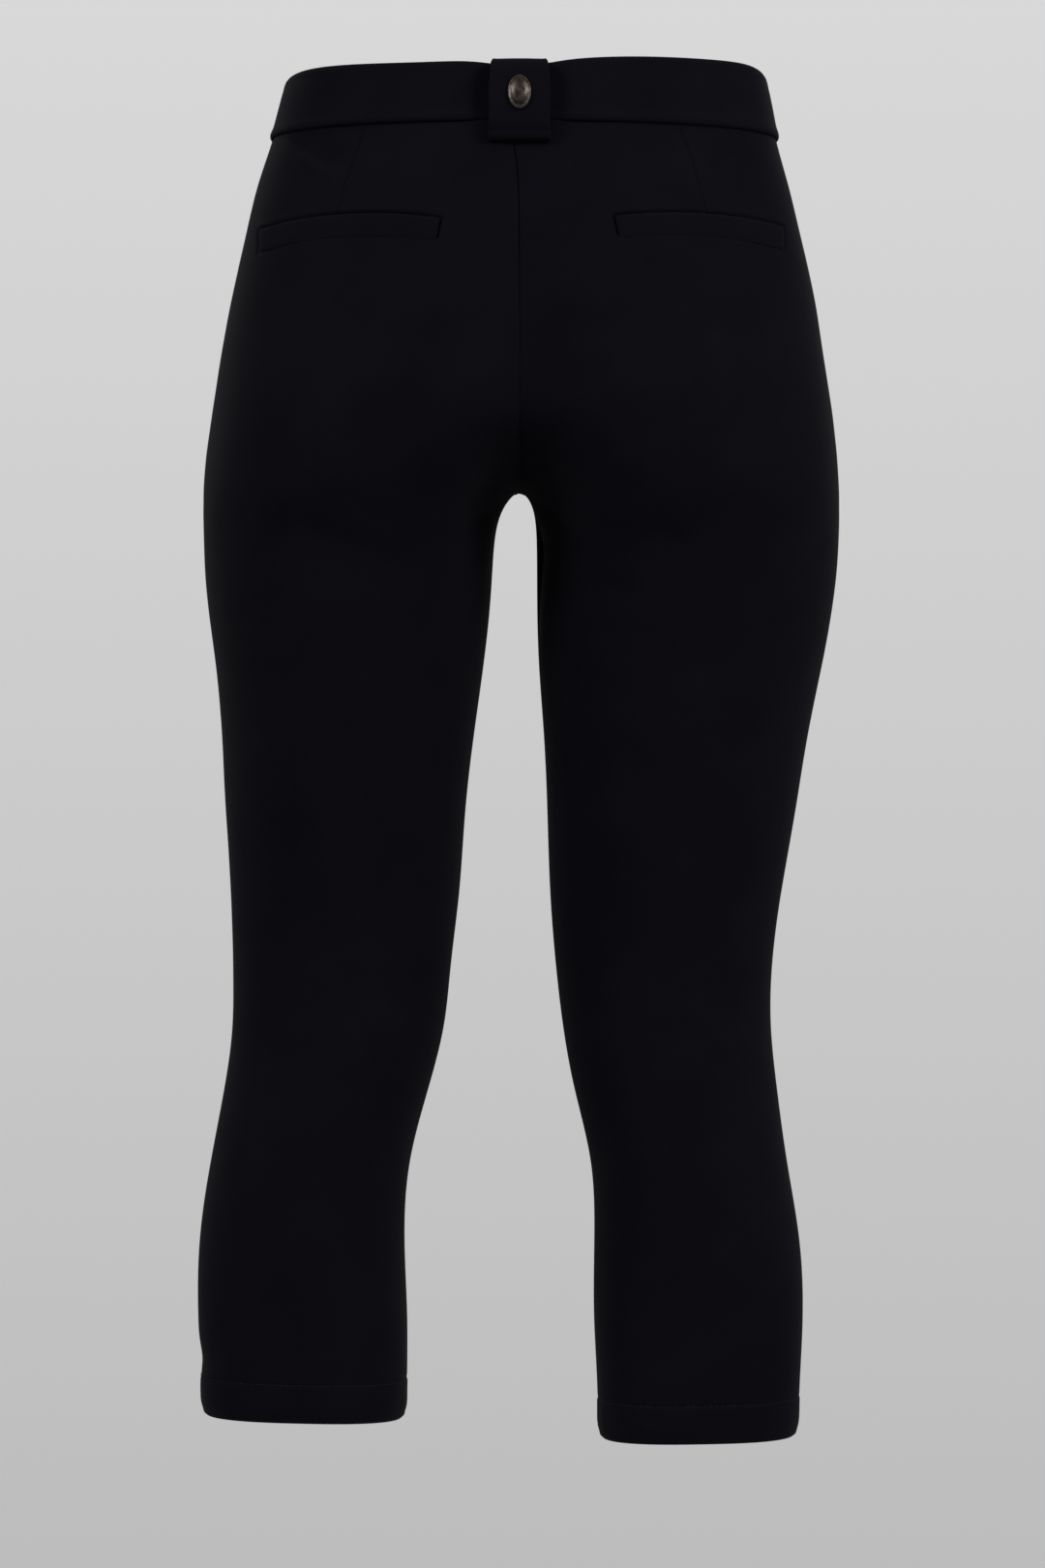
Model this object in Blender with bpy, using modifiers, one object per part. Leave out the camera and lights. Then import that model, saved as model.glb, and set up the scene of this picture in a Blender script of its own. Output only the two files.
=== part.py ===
"""Capri pants in thick stretch knit, hollow, in the standing shape of a general figure.

Frame: X to the wearer's left, Y to the back, Z up, in metres. The origin is the centre of the waist,
half way up the waistband. Sizes below are in millimetres unless their comment says otherwise.
"""

import bpy
import numpy as np

MM = 0.001

# Cloth
PANEL_THICKNESS = 1.5
HEM_THICKNESS = 2.8
HEM_DEPTH = 21.0
SEAM_GAP = 0.3
SEAM_ROLL = 0.45
SEAM_ROLL_WIDTH = 3.0
SIDE_SEAM_ANGLE = -0.10  # radians ahead of the widest line

# Heights
WAIST_SEAM = -17.0
CROTCH = -216.0
SIDE_AT_CROTCH_ROW = -235.0
LEFT_HEM = -739.0
RIGHT_HEM = -752.0
# How far each hem line stands above its height at the inseam and at the side seam
HEM_LIFT = {"left": (-1.6, 1.2), "right": (0.2, 2.2)}

# Pelvis and crotch: how steeply the legs part, and how far under CROTCH the four panels meet
PELVIS_RISE = 150.0
PELVIS_POWER = 2.2
CROTCH_STEEPNESS = 1.32
MEETING_DROP = 2.25
# How square the ovals are: 2 is an ellipse and more is squarer
BACK_ROUNDNESS = 2.2
FRONT_ROUNDNESS = 2.6
LEG_ROUNDNESS = 2.05
HEM_ROUNDNESS = 2.65

# Rows and columns of the panels
ROWS_ABOVE = 15
ROWS_BELOW = 22
COLUMNS = 16
# Row spacing just under the crotch, at the inseam and at the side seam; the rest is even
INSEAM_STEPS = (4, 6, 9, 13, 18, 22)
SIDE_STEPS = (15, 16, 17, 19, 21, 23)

# Outline of both legs, a row per section
SECTION_COLUMNS = ("height", "left_out", "right_out", "left_in", "right_in", "front", "back")
SECTIONS = (
    (20, 131, 139, 16, 10, -93, 92),
    (-17, 140, 145.5, 16, 10, -98, 97),
    (-42, 148, 152, 16, 10, -102, 104),
    (-75, 156, 160, 16, 10, -105, 112),
    (-108, 163, 167, 16, 10, -107, 119),
    (-141, 169, 172, 16, 10, -107, 123),
    (-174, 174, 177, 16, 10, -105, 124),
    (-207, 178, 180, 16, 10, -101, 119.5),
    (-225, 178.9, 180.8, 15.7, 10, -98.3, 114),
    (-245, 178.9, 180.8, 15.6, 10, -95.3, 105),
    (-275, 177.5, 178.5, 16.5, 10, -91, 97.5),
    (-311, 173, 172.5, 20, 10.8, -86, 91),
    (-355, 169, 163.7, 26, 13.8, -80, 84),
    (-400, 167, 156.3, 31, 15.8, -74, 76),
    (-443, 165, 148.8, 34.2, 17.3, -67, 67),
    (-487, 163.3, 143.3, 39.2, 20.7, -61, 60),
    (-520, 163, 142.6, 43, 24.6, -57, 60),
    (-553, 167, 145.6, 51, 30.5, -54, 63),
    (-597, 175, 151.5, 62.2, 40.3, -51, 68),
    (-641, 181, 158.3, 65.2, 42.3, -49, 71),
    (-685, 181.8, 160.2, 63.8, 42.3, -48, 70),
    (-730, 180, 158.2, 64, 44.3, -48, 68),
    (-755, 180, 157.7, 64, 44.3, -48, 67),
)

# Largest soft folds pressed into the panels, from one end to the other
FOLD_COLUMNS = ("leg", "face", "x0", "z0", "x1", "z1", "half_width", "depth")
FOLDS = (
    ("left", "back", 128, -226, 56, -254, 17, 3.0),
    ("right", "back", 26, -244, 104, -240, 18, 2.6),
    ("left", "back", 140, -398, 136, -498, 24, 2.0),
    ("left", "front", 44, -203, 100, -176, 20, 2.0),
    ("right", "front", 44, -206, 102, -180, 20, 2.0),
)

# Waistband: top edge by direction from the centre back, in degrees to the wearer's left
BAND_TOP_COLUMNS = ("direction", "height")
BAND_TOP = (
    (-180, 10),
    (-130, 12),
    (-90, 15.5),
    (-70, 20.0),
    (-45, 20.5),
    (-22, 19.0),
    (-12, 16.6),
    (-7, 14.8),
    (0, 14.2),
    (7, 14.6),
    (12, 15.4),
    (22, 16.3),
    (50, 17.4),
    (70, 16.8),
    (90, 14.0),
    (130, 11.5),
    (180, 10),
)
BAND_PROFILE_COLUMNS = ("share", "offset")
BAND_PROFILE = (
    (0.02, -1.5),
    (0.00, -0.6),
    (0.00, 1.0),
    (0.05, 1.9),
    (0.13, 1.9),
    (0.25, 1.5),
    (0.60, 1.3),
    (0.90, 0.9),
    (0.98, 0.4),
    (1.00, -0.4),
    (0.97, -1.3),
    (0.60, -1.5),
)
BAND_STATIONS = 46
LAP_RAISE = 3.8
LAP_START, LAP_FULL, LAP_END = -50.0, -35.0, 4.0
UNDERLAP_END = -30.0

# Belt loop: its middle surface, from inside the band over the top, down the outside and in at the foot
LOOP_WIDTH = 34.4
LOOP_TOP_WIDTH = 32.0
LOOP_THICKNESS = 1.6
LOOP_COLUMNS = ("height", "offset")
LOOP_PATH = (
    (5.0, -2.8),
    (12.4, -2.9),
    (15.4, -2.2),
    (16.5, 0.4),
    (16.0, 3.8),
    (13.6, 6.6),
    (8.0, 8.3),
    (0.0, 8.9),
    (-9.0, 8.9),
    (-17.0, 8.1),
    (-21.5, 6.7),
    (-24.5, 5.1),
    (-26.7, 4.1),
    (-27.8, 2.6),
    (-27.8, 0.8),
)
LOOP_ROLL = 0.6

# Stud on the loop
STUD_WIDTH, STUD_HEIGHT, STUD_THICKNESS = 13.0, 19.0, 2.2
STUD_MIDDLE = -2.5
STUD_OFFSET = 9.9

# Welts: ends across the back and the opening line's height at outer end, middle and inner end
WELT_COLUMNS = ("name", "outer_x", "inner_x", "outer_z", "middle_z", "inner_z")
WELTS = (
    ("welt_left", 146, 43, -73, -68.5, -72.5),
    ("welt_right", -148, -52, -71.5, -68, -71),
)
WELT_HEIGHT = 13.3
WELT_SLANT = 2.7  # how far the foot of a welt's inner end lies towards the side
WELT_LIFT = 0.45
WELT_THICKNESS = 1.3

# How far the centre back seam swings to the left where it comes out under the loop,
# and the height over which the swing dies away
SEAM_BEND, SEAM_SETTLES = 4.0, 16.0

# Fly flap
FLY_EDGE, FLY_STITCH = 3.0, -34.0
FLY_STRAIGHT_END, FLY_END = -122.0, -158.0
FLY_LIFT, FLY_THICKNESS = 0.45, 1.3

# Colours, linear
BLACK_KNIT = (0.0055, 0.0052, 0.0068, 1.0)
GUNMETAL = (0.11, 0.095, 0.08, 1.0)


def smooth(x):
    x = np.clip(x, 0.0, 1.0)
    return x * x * (3 - 2 * x)


def column(rows, names, name):
    return np.array([row[names.index(name)] for row in rows], float)


def curve(xs, ys, x):
    """A natural cubic through the points of a table, held level past its ends."""
    order = np.argsort(xs)
    xs, ys = np.asarray(xs, float)[order], np.asarray(ys, float)[order]
    step, rise = np.diff(xs), np.diff(ys)
    count = len(xs)
    matrix, right = np.eye(count), np.zeros(count)
    for i in range(1, count - 1):
        matrix[i, i - 1 : i + 2] = step[i - 1], 2 * (step[i - 1] + step[i]), step[i]
        right[i] = 6 * (rise[i] / step[i] - rise[i - 1] / step[i - 1])
    bend = np.linalg.solve(matrix, right)
    x = np.clip(x, xs[0], xs[-1])
    i = np.clip(np.searchsorted(xs, x) - 1, 0, count - 2)
    h, a = step[i], (xs[i + 1] - x) / step[i]
    b = 1 - a
    bent = ((a**3 - a) * bend[i] + (b**3 - b) * bend[i + 1]) * h * h / 6
    return a * ys[i] + b * ys[i + 1] + bent


def section(name, z):
    heights = column(SECTIONS, SECTION_COLUMNS, "height")
    return curve(heights, column(SECTIONS, SECTION_COLUMNS, name), z)


def tube(leg, z):
    """One leg's oval at height z: middle x, half width, middle y, half depth, reach and blend.

    Reach is 0 where both legs share one oval, 1 where their ovals touch and more below that.
    """
    out = section(leg + "_out", z)
    inner_full = section(leg + "_in", z)
    below = np.maximum(CROTCH - z, 0.0)
    inner = inner_full * (1 - np.exp(-below * CROTCH_STEEPNESS / inner_full))
    above = np.clip((z - CROTCH) / PELVIS_RISE, 0.0, 1.0)
    reach = np.where(z > CROTCH, (1 - above) ** PELVIS_POWER, (out + inner) / (out - inner))
    blend = 34 * smooth((reach - 0.1) / 0.5) - 22 * smooth((reach - 0.65) / 0.35) + 1e-3
    front, back = section("front", z), section("back", z)
    middle_x, half_width = out * reach / (1 + reach), out / (1 + reach)
    return middle_x, half_width, (front + back) / 2, (back - front) / 2, reach, blend


def roundness(in_front, z):
    n = np.where(in_front, FRONT_ROUNDNESS, BACK_ROUNDNESS)
    n = LEG_ROUNDNESS + (n - LEG_ROUNDNESS) * smooth((z - CROTCH + 90) / 90)
    return n + (HEM_ROUNDNESS - LEG_ROUNDNESS) * smooth((-640 - z) / 80)


def level(leg, x, y, z):
    """About the distance outside the cloth, for points on the leg's own side (x from 0 up)."""
    middle_x, half_width, middle_y, half_depth, _, blend = tube(leg, z)
    deep = (y - middle_y) / half_depth
    n = roundness(deep < 0, z)
    deep = np.abs(deep) ** n

    def oval(across):
        return ((np.abs(across - middle_x) / half_width) ** n + deep) ** (1 / n)

    own, other = (oval(x) - 1) * half_depth, (oval(-x) - 1) * half_depth
    near = np.maximum(blend - np.abs(own - other), 0.0) / blend
    return np.minimum(own, other) - near * near * blend / 4


def seam_angle(leg, face, z):
    """The direction from the leg's middle to the centre seam, or to the inseam below the crotch."""
    _, _, _, half_depth, reach, blend = tube(leg, z)
    n = roundness(face == "front", z)
    grown = 1 + blend / (4 * half_depth)
    rest = np.maximum(grown**n - reach**n, 0.0) ** (1 / n)
    angle = np.arctan2(rest, -reach)
    return -angle if face == "front" else angle


def on_ray(leg, angle, z):
    """Points of the cloth's outside in a direction from the leg's middle."""
    middle_x, half_width, middle_y, half_depth = tube(leg, z)[:4]
    across, deep = half_width * np.cos(angle), half_depth * np.sin(angle)
    # A ray ends at the centre plane, past which lies the other leg
    to_centre = np.where(across < -1e-6, middle_x / np.maximum(-across, 1e-6), 1.7)
    low, high = np.full(z.shape, 0.9), np.clip(to_centre, 0.9, 1.7)
    for _ in range(32):
        r = (low + high) / 2
        outside = level(leg, middle_x + across * r, middle_y + deep * r, z) > 0
        high, low = np.where(outside, r, high), np.where(outside, low, r)
    return np.stack([middle_x + across * low, middle_y + deep * low, z], axis=-1)


def surface(leg, face, w, z):
    """Points of the cloth's outside, w from 0 at the centre seam or inseam to 1 at the side seam."""
    w, z = np.broadcast_arrays(np.asarray(w, float), np.asarray(z, float))
    start = seam_angle(leg, face, z)
    return on_ray(leg, start + (SIDE_SEAM_ANGLE - start) * w, z)


def outward(leg, points):
    """Unit directions out of the cloth at points on the leg's own side."""
    slopes = []
    for axis in range(3):
        step = np.zeros(3)
        step[axis] = 0.2
        ahead, behind = points + step, points - step
        slopes.append(level(leg, *np.moveaxis(ahead, -1, 0)) - level(leg, *np.moveaxis(behind, -1, 0)))
    slopes = np.stack(slopes, axis=-1)
    return slopes / np.linalg.norm(slopes, axis=-1, keepdims=True)


def folds(leg, face, points):
    """How far each point is pressed in by the soft folds."""
    pressed = np.zeros(points.shape[:-1])
    for fold_leg, fold_face, x0, z0, x1, z1, half_width, depth in FOLDS:
        if (fold_leg, fold_face) != (leg, face):
            continue
        along = np.array([x1 - x0, z1 - z0], float)
        length = np.hypot(*along)
        from_start = points[..., [0, 2]] - np.array([x0, z0])
        t = from_start @ along / length**2
        away = (from_start[..., 0] * along[1] - from_start[..., 1] * along[0]) / length
        ends = smooth((t + 0.25) / 0.45) * smooth((1.25 - t) / 0.45)
        pressed += depth * ends * np.exp(-((away / half_width) ** 2))
    return pressed


def mirrored(leg, points):
    return points * np.array([1.0 if leg == "left" else -1.0, 1.0, 1.0])


def at(x, z, face):
    """Points and outward directions on the cloth's front or back at the given x and height."""
    x, z = np.broadcast_arrays(np.asarray(x, float), np.asarray(z, float))
    points, directions = np.zeros(x.shape + (3,)), np.zeros(x.shape + (3,))
    for leg in ("left", "right"):
        own = np.abs(x)
        middle_y = tube(leg, z)[2]
        reach = 170.0 if face == "back" else -170.0
        low, high = middle_y, middle_y + reach
        for _ in range(36):
            y = (low + high) / 2
            outside = level(leg, own, y, z) > 0
            high, low = np.where(outside, y, high), np.where(outside, low, y)
        found = np.stack([own, low, z], axis=-1)
        mine = (x >= 0) if leg == "left" else (x < 0)
        points[mine] = mirrored(leg, found)[mine]
        directions[mine] = mirrored(leg, outward(leg, found))[mine]
    return points, directions


def around(direction, z):
    """Points and level outward directions of the waist, by degrees from the centre back."""
    direction, z = np.broadcast_arrays(np.asarray(direction, float), np.asarray(z, float))
    turned = (direction + 180) % 360 - 180
    points, directions = np.zeros(z.shape + (3,)), np.zeros(z.shape + (3,))
    for leg in ("left", "right"):
        found = on_ray(leg, np.pi / 2 - np.radians(np.abs(turned)), z)
        mine = (turned >= 0) if leg == "left" else (turned < 0)
        points[mine] = mirrored(leg, found)[mine]
        directions[mine] = mirrored(leg, outward(leg, found))[mine]
    directions[..., 2] = 0
    return points, directions / np.linalg.norm(directions, axis=-1, keepdims=True)


def mesh_object(name, points, faces, material):
    mesh = bpy.data.meshes.new(name)
    mesh.from_pydata([tuple(p) for p in np.asarray(points) * MM], [], [list(f) for f in faces])
    mesh.materials.append(material)
    for polygon in mesh.polygons:
        polygon.use_smooth = True
    obj = bpy.data.objects.new(name, mesh)
    GARMENT.objects.link(obj)
    return obj


def grid_faces(rows, columns, turned=False):
    faces = []
    for i in range(rows - 1):
        for j in range(columns - 1):
            a = i * columns + j
            quad = (a, a + 1, a + columns + 1, a + columns)
            faces.append(quad[::-1] if turned else quad)
    return faces


def shell(name, grid, thickness, material, offset, like):
    """A sheet over a grid of points that faces the way of like.

    It thickens behind the grid with offset -1, in front of it with 1 and both ways with 0.
    """
    rows, columns = grid.shape[:2]
    across = grid[rows // 2, columns // 2 + 1] - grid[rows // 2, columns // 2]
    down = grid[rows // 2 + 1, columns // 2] - grid[rows // 2, columns // 2]
    turned = np.dot(np.cross(across, down), like) < 0
    obj = mesh_object(name, grid.reshape(-1, 3), grid_faces(rows, columns, turned), material)
    solid = obj.modifiers.new("thickness", "SOLIDIFY")
    solid.thickness = thickness * MM
    solid.offset = offset
    return obj, solid


def centre_rows(leg, face):
    """Heights of the rows at the centre seam, evenly spaced along it from the waist to the crotch."""
    lowest = CROTCH - MEETING_DROP
    z = lowest + (WAIST_SEAM - SEAM_GAP - lowest) * np.linspace(1, 0, 900) ** 2
    line = surface(leg, face, np.zeros(z.shape), z)
    length = np.append(0, np.cumsum(np.linalg.norm(np.diff(line, axis=0), axis=1)))
    return np.interp(np.linspace(0, length[-1], ROWS_ABOVE + 1), length, z)


def heights_below(start, end, first_steps):
    """Row heights from the crotch row down to the hem, the first steps as given."""
    near = start - np.cumsum(first_steps)
    return np.append(near, np.linspace(near[-1], end, ROWS_BELOW - len(near) + 1)[1:])


def panel(leg, face, material):
    """One of the four panels, from the waist seam to the hem and from the centre to the side seam."""
    hem = LEFT_HEM if leg == "left" else RIGHT_HEM
    lift_in, lift_out = HEM_LIFT[leg]
    inner = centre_rows(leg, face)
    crotch_row = len(inner) - 1
    hem_line = hem + HEM_DEPTH
    outer = np.linspace(WAIST_SEAM - SEAM_GAP, SIDE_AT_CROTCH_ROW, ROWS_ABOVE + 1)
    inner = np.append(inner, heights_below(inner[-1], hem_line + 1.5, INSEAM_STEPS))
    outer = np.append(outer, heights_below(outer[-1], hem_line + 1.5, SIDE_STEPS))
    last = [hem_line, hem + 11, hem + 0.8, hem]
    inner, outer = np.append(inner, last), np.append(outer, last)
    rows = []
    for index, (z_in, z_out) in enumerate(zip(inner, outer)):

        def row(w):
            z = z_in + (z_out - z_in) * w
            lift = lift_in + (lift_out - lift_in) * (1 - np.cos(np.pi * w)) / 2
            return surface(leg, face, w, z + lift * (1 - smooth((z - hem) / 90)))

        probe = row(np.array([0.0, 0.01, 0.99, 1.0]))
        # Millimetres of cloth for each unit of w, at both ends of the row
        start_speed = np.linalg.norm(probe[1] - probe[0]) * 100
        end_speed = np.linalg.norm(probe[3] - probe[2]) * 100
        first, final = SEAM_GAP / 2 / start_speed, 1 - SEAM_GAP / 2 / end_speed
        second = first + SEAM_ROLL_WIDTH / start_speed
        next_to_final = final - SEAM_ROLL_WIDTH / end_speed
        ws = np.concatenate([[first], np.linspace(second, next_to_final, COLUMNS), [final]])
        points = row(ws)
        directions = outward(leg, points)
        inward = folds(leg, face, points)
        inward[[0, -1]] += SEAM_ROLL
        if index == len(inner) - 1:
            inward += 0.5
        if index >= crotch_row:
            # Wider at the crotch, where the corners' inner edges lean together
            gap = SEAM_GAP * (0.75 if index == crotch_row else 0.5) * (1 if face == "back" else -1)
            middle_y = tube(leg, np.array(z_in))[2]
            away = points[0, 1] - middle_y
            points[0, 1] = middle_y + (max(away, gap) if gap > 0 else min(away, gap))
        points = points - directions * inward[:, None]
        if index <= crotch_row:
            points[0, 0] = SEAM_GAP / 2
        rows.append(points)
    grid = mirrored(leg, np.array(rows))
    if face == "back":
        under_loop = np.maximum(LOOP_PATH[-1][0] - grid[..., 2], 0)
        near_seam = np.exp(-((grid[..., 0] / 30) ** 2))
        grid[..., 0] += SEAM_BEND * np.exp(-under_loop / SEAM_SETTLES) * near_seam
    like = np.array([0, 1.0 if face == "back" else -1.0, 0])
    obj, solid = shell(f"{face}_{leg}", grid, HEM_THICKNESS, material, -1.0, like)
    hem_group = obj.vertex_groups.new(name="hem")
    columns = grid.shape[1]
    hem_group.add(list(range((len(inner) - 4) * columns, len(inner) * columns)), 1.0, "REPLACE")
    solid.vertex_group = "hem"
    solid.thickness_vertex_group = PANEL_THICKNESS / HEM_THICKNESS
    return obj


def waistband(leg, material):
    """One half of the band, from the centre back to its end at the centre front."""
    sign = 1.0 if leg == "left" else -1.0
    half = section(leg + "_out", np.array(0.0))
    end_x = -UNDERLAP_END if leg == "left" else LAP_END
    end = 180 + np.degrees(np.arcsin(end_x / half))
    start = np.degrees(np.arcsin(SEAM_GAP / 2 / half))
    directions = np.linspace(start, end, BAND_STATIONS)
    if leg == "right":
        # Closer stations where this half climbs over the other
        climb = 180 + np.degrees(np.arcsin(np.linspace(LAP_START, LAP_FULL, 5) / half))
        apart = np.abs(directions[:, None] - climb[None, :]).min(axis=1) > 1.2
        directions = np.sort(np.append(directions[apart], climb))
    directions = sign * directions
    top = curve(
        column(BAND_TOP, BAND_TOP_COLUMNS, "direction"),
        column(BAND_TOP, BAND_TOP_COLUMNS, "height"),
        (directions + 180) % 360 - 180,
    )
    shares = column(BAND_PROFILE, BAND_PROFILE_COLUMNS, "share")
    offsets = column(BAND_PROFILE, BAND_PROFILE_COLUMNS, "offset")
    heights = WAIST_SEAM + shares[None, :] * (top[:, None] - WAIST_SEAM)
    points, normals = around(directions[:, None], heights)
    lift = np.zeros(len(directions))
    if leg == "right":
        in_front = points[:, 0, 1] < 0
        lift = LAP_RAISE * smooth((points[:, 0, 0] - LAP_START) / (LAP_FULL - LAP_START)) * in_front
    points = points + normals * (offsets[None, :] + lift[:, None])[..., None]
    stations, around_profile = points.shape[:2]
    faces = []
    for i in range(stations - 1):
        for j in range(around_profile):
            k = (j + 1) % around_profile
            a, b = i * around_profile, (i + 1) * around_profile
            faces.append((a + j, b + j, b + k, a + k))
    faces.append(tuple(range(around_profile)))
    faces.append(tuple(range(stations * around_profile - 1, (stations - 1) * around_profile - 1, -1)))
    if leg == "left":
        faces = [f[::-1] for f in faces]
    return mesh_object(f"waistband_{leg}", points.reshape(-1, 3), faces, material)


def belt_loop(material):
    heights = column(LOOP_PATH, LOOP_COLUMNS, "height")
    offsets = column(LOOP_PATH, LOOP_COLUMNS, "offset")
    shares = np.array([-1, -0.94, -0.6, -0.2, 0.2, 0.6, 0.94, 1])
    rolled = LOOP_ROLL * (np.abs(shares) > 0.97)
    rows = []
    for z, offset in zip(heights, offsets):
        width = LOOP_WIDTH + (LOOP_TOP_WIDTH - LOOP_WIDTH) * smooth((z + 4) / 16)
        across = shares * width / 2
        points, _ = at(across, np.full(across.shape, z), "back")
        # Its long edges roll inwards where it stands off the band
        points[:, 1] += offset - (rolled if offset > 3 else 0)
        rows.append(points)
    grid = np.array(rows)
    obj, _ = shell("belt_loop", grid, LOOP_THICKNESS, material, 0.0, np.array([0, 1.0, 0]))
    return obj


def loop_stud(material):
    """An oval stud that leans with the back of the loop."""
    bpy.ops.mesh.primitive_cylinder_add(vertices=32, radius=0.5, depth=1.0)
    obj = bpy.context.active_object
    obj.name = obj.data.name = "loop_stud"
    for collection in list(obj.users_collection):
        collection.objects.unlink(obj)
    GARMENT.objects.link(obj)
    ends = STUD_MIDDLE + np.array([-0.5, 0.5]) * STUD_HEIGHT
    base = at(np.zeros(2), ends, "back")[0][:, 1]
    lean = base[0] - base[1]
    y = base.mean() + STUD_OFFSET + STUD_THICKNESS / 2
    for vertex in obj.data.vertices:
        across, up, deep = vertex.co.x, vertex.co.y, vertex.co.z
        vertex.co = (
            across * STUD_WIDTH * MM,
            (y + deep * STUD_THICKNESS + up * lean) * MM,
            (STUD_MIDDLE - up * STUD_HEIGHT) * MM,
        )
    obj.data.materials.append(material)
    bevel = obj.modifiers.new("rounded rim", "BEVEL")
    bevel.width = 0.8 * MM
    bevel.segments = 3
    return obj


def welt(name, outer_x, inner_x, outer_z, middle_z, inner_z, material):
    """A pocket welt laid on the back, along its opening line and WELT_HEIGHT down from it."""
    # More stations near the side, where the cloth turns away
    t = np.linspace(0, 1, 15)
    xs = outer_x + (inner_x - outer_x) * (t * 0.45 + 0.55 * t**1.8)
    along = (xs - outer_x) / (inner_x - outer_x)
    opening = outer_z * (1 - along) + inner_z * along
    opening += 4 * along * (1 - along) * (middle_z - (outer_z + inner_z) / 2)
    rows = []
    for share in (0, 0.08, 0.5, 0.92, 1):
        slant = np.sign(inner_x) * WELT_SLANT * share * smooth(t * 2 - 1)
        points, normals = at(xs + slant, opening - share * WELT_HEIGHT, "back")
        rows.append(points + normals * WELT_LIFT)
    like = np.array([0, 1.0, 0])
    obj, _ = shell(name, np.array(rows), WELT_THICKNESS, material, 1.0, like)
    return obj


def fly_front(material):
    """The flap over the zip: straight at the centre front, its stitched side curving in at the foot."""
    zs = np.linspace(WAIST_SEAM - SEAM_GAP - 0.2, FLY_STRAIGHT_END, 7)
    turn = np.linspace(0, 1, 8)[1:]
    zs = np.append(zs, FLY_STRAIGHT_END + (FLY_END - FLY_STRAIGHT_END) * np.sin(turn * np.pi / 2))
    shares = np.append(np.ones(7), np.cos(turn * np.pi / 2 * 0.94))
    rows = []
    for z, share in zip(zs, shares):
        xs = FLY_EDGE + (FLY_STITCH * share - FLY_EDGE) * np.linspace(0, 1, 6)
        points, normals = at(xs, np.full(xs.shape, z), "front")
        rows.append(points + normals * FLY_LIFT)
    like = np.array([0, -1.0, 0])
    obj, _ = shell("fly_front", np.array(rows), FLY_THICKNESS, material, 1.0, like)
    return obj


def plain_material(name, colour, metallic, roughness):
    material = bpy.data.materials.new(name)
    material.use_nodes = True
    shader = material.node_tree.nodes["Principled BSDF"]
    shader.inputs["Base Color"].default_value = colour
    shader.inputs["Metallic"].default_value = metallic
    shader.inputs["Roughness"].default_value = roughness
    return material


for old in list(bpy.data.objects):
    bpy.data.objects.remove(old, do_unlink=True)
GARMENT = bpy.data.collections.new("capri_pants")
bpy.context.scene.collection.children.link(GARMENT)

for leg_name in ("left", "right"):
    for face_name in ("back", "front"):
        knit = plain_material(f"{face_name}_{leg_name}_knit", BLACK_KNIT, 0.0, 0.75)
        panel(leg_name, face_name, knit)
    band_knit = plain_material(f"waistband_{leg_name}_knit", BLACK_KNIT, 0.0, 0.75)
    waistband(leg_name, band_knit)
for welt_row in WELTS:
    welt_knit = plain_material(f"{welt_row[0]}_knit", BLACK_KNIT, 0.0, 0.75)
    welt(*welt_row, welt_knit)
belt_loop(plain_material("belt_loop_knit", BLACK_KNIT, 0.0, 0.75))
loop_stud(plain_material("stud_metal", GUNMETAL, 1.0, 0.35))
fly_front(plain_material("fly_front_knit", BLACK_KNIT, 0.0, 0.75))
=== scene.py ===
"""Capri pants in black double-knit, worn shape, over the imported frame: how the cloth looks.

X is to the wearer's left, Y to the back and Z up. Sizes are in millimetres and colours are linear,
unless their comment says otherwise.
"""

import bpy
import numpy as np
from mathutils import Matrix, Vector


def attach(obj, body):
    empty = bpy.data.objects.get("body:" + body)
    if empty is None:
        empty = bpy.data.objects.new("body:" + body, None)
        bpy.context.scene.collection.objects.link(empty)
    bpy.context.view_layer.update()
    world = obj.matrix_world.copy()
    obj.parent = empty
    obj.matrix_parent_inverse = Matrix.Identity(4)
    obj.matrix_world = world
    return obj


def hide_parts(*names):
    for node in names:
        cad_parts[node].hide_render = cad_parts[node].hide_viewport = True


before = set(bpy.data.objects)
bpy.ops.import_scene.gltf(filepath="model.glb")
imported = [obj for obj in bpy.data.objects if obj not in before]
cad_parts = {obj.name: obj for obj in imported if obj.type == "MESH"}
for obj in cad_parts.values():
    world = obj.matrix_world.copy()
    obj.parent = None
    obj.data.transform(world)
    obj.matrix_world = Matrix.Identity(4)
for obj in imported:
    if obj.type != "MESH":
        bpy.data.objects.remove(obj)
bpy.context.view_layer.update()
MM = 0.001
LEGS, FACES = ("left", "right"), ("back", "front")
SIGN = {"left": 1.0, "right": -1.0}

# -------- sizes
CLOTH, FLY_CLOTH = 1.4, 1.2
SEAM_GAP = -0.16  # below zero: the pieces overlap by a hair, so that no light comes through a seam
SIDE_SEAM_ANGLE = -0.10  # radians ahead of the widest line
WAIST_SEAM = -17.0
PANEL_TOP = WAIST_SEAM - SEAM_GAP
CROTCH = -216.0
SIDE_AT_CROTCH_ROW = -235.0
HEM = {"left": -739.0, "right": -752.0}
HEM_DEPTH = 21.5
# How far the hem line stands above HEM at the inseam and at the side, and how high up that is felt
HEM_LIFT = {"left": (-1.6, 1.2), "right": (0.2, 2.2)}
HEM_LIFT_RUN = 90.0

# How the two ovals part towards the crotch, and how steeply the inseams leave each other
PELVIS_RISE = 150.0
PELVIS_POWER = 2.2
CROTCH_STEEPNESS = 1.32
# How far under CROTCH the four panels meet
MEETING_DROP = 2.25
# How softly the two ovals run into each other at the hips, how much less at the crotch, and at least
HIP_BLEND, CROTCH_BLEND_DROP, LEAST_BLEND = 34.0, 22.0, 1e-3
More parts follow.
